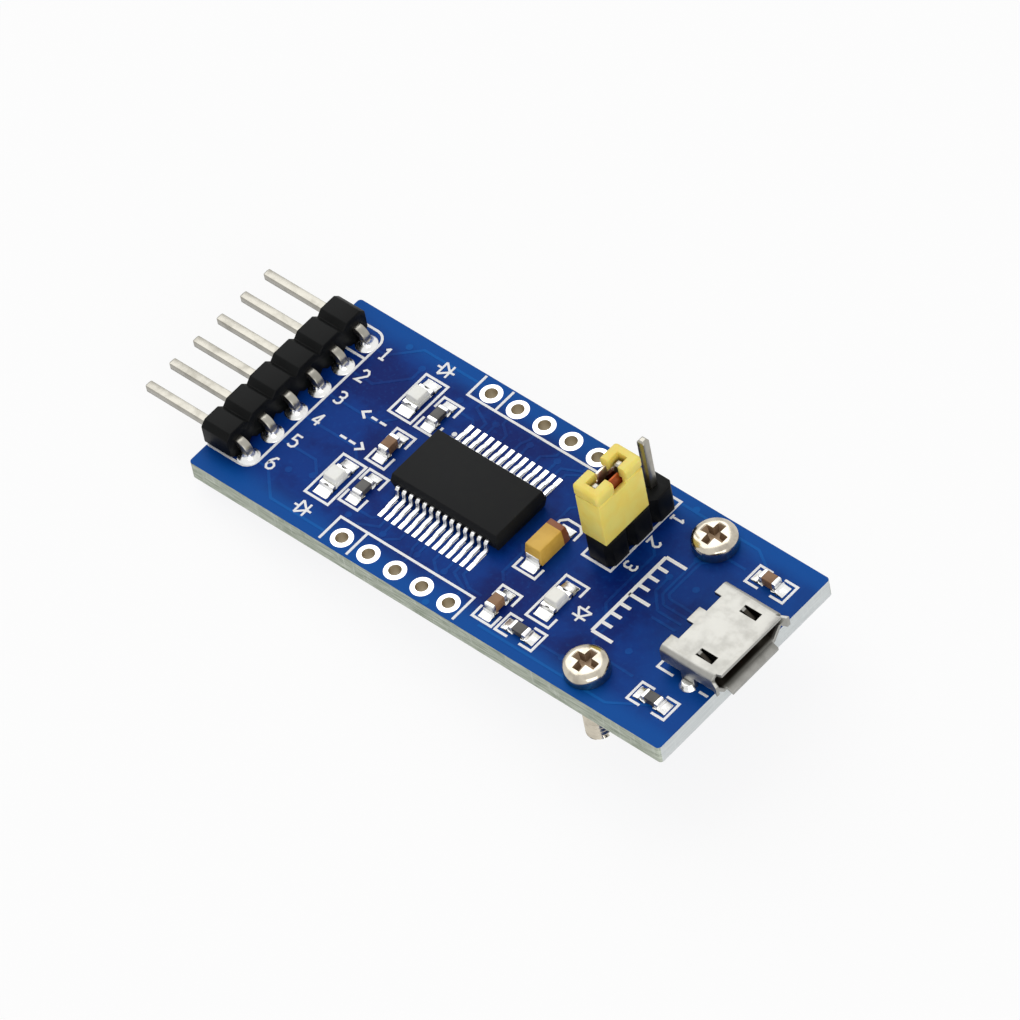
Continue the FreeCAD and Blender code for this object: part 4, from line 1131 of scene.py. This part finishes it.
WHITE_SHARE = 0.88
PURE_WHITE = {"Color": (1, 1, 1, 1), "Strength": 1.0}
floor_finish = Finish("white_table", Roughness=0.9, Specular_IOR_Level=0.1)
paper = floor_finish.grain(40)
floor_finish.set("Base Color", floor_finish.blend(paper, tint(254, 254, 254), tint(255, 255, 255)))
glow = floor_finish.node("ShaderNodeEmission", {}, PURE_WHITE, "Emission")
lit = Value(floor_finish, floor_finish.shader.outputs[0])
share = seen_directly(floor_finish) * WHITE_SHARE
mixed = floor_finish.node("ShaderNodeMixShader", {}, {0: share, 1: lit, 2: glow}, "Shader")
floor_finish.tree.links.new(mixed.socket, floor_finish.end.inputs["Surface"])
floor.data.materials.append(floor_finish.material)
floor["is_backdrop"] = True
heights = [round(corner.co.z / MM, 1) for corner in floor.data.vertices]
print("table", heights[::4], "mm high along it")

# %% [markdown]
# The window is one large area light, and a weaker one opposite fills the shadows.
# The sky gives the rest, and is white wherever the camera or a mirror sees it.

# %% Hang the lights
def window(name, place, size, power):
    """A square of soft light at this place, in metres, that faces the board."""
    bpy.ops.object.light_add(type="AREA", location=place)
    light = bpy.context.object
    light.name = name
    light.data.size = size
    light.data.energy = power
    light.rotation_euler = Vector(place).to_track_quat("Z", "Y").to_euler()


SKY_LIGHT = 0.36
window("window_light", (-0.5, 0.3, 0.8), 1.0, 4.9)
window("fill_light", (0.85, -0.45, 0.35), 0.8, 4.6)


class Sky(Finish):
    """The world around the table, written as a finish is."""

    def __init__(self, world):
        self.tree = world.node_tree
        self.tree.nodes.clear()
        self.end = self.tree.nodes.new("ShaderNodeOutputWorld")


studio = bpy.data.worlds.new("studio")
studio.use_nodes = True
bpy.context.scene.world = studio
sky = Sky(studio)
soft = sky.node("ShaderNodeBackground", {}, {"Color": (1, 1, 1, 1), "Strength": SKY_LIGHT})
white = sky.node("ShaderNodeBackground", {}, PURE_WHITE)
around = sky.node("ShaderNodeMixShader", {}, {0: seen_directly(sky), 1: soft, 2: white})
sky.tree.links.new(around.socket, sky.end.inputs["Surface"])
bpy.context.scene.view_settings.view_transform = "Standard"
print("two windows and a sky")

# %% [markdown]
# ## Last, the size
#
# The dressed module must be exactly as large as the solid one, so both boxes are
# written down side by side.

# %% Print both sizes, and finish
dressed_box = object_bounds()
for word, box in (("solid", SOLID_BOX), ("dressed", dressed_box)):
    print(word, [round(side / MM, 2) for side in box[1] - box[0]], "mm")
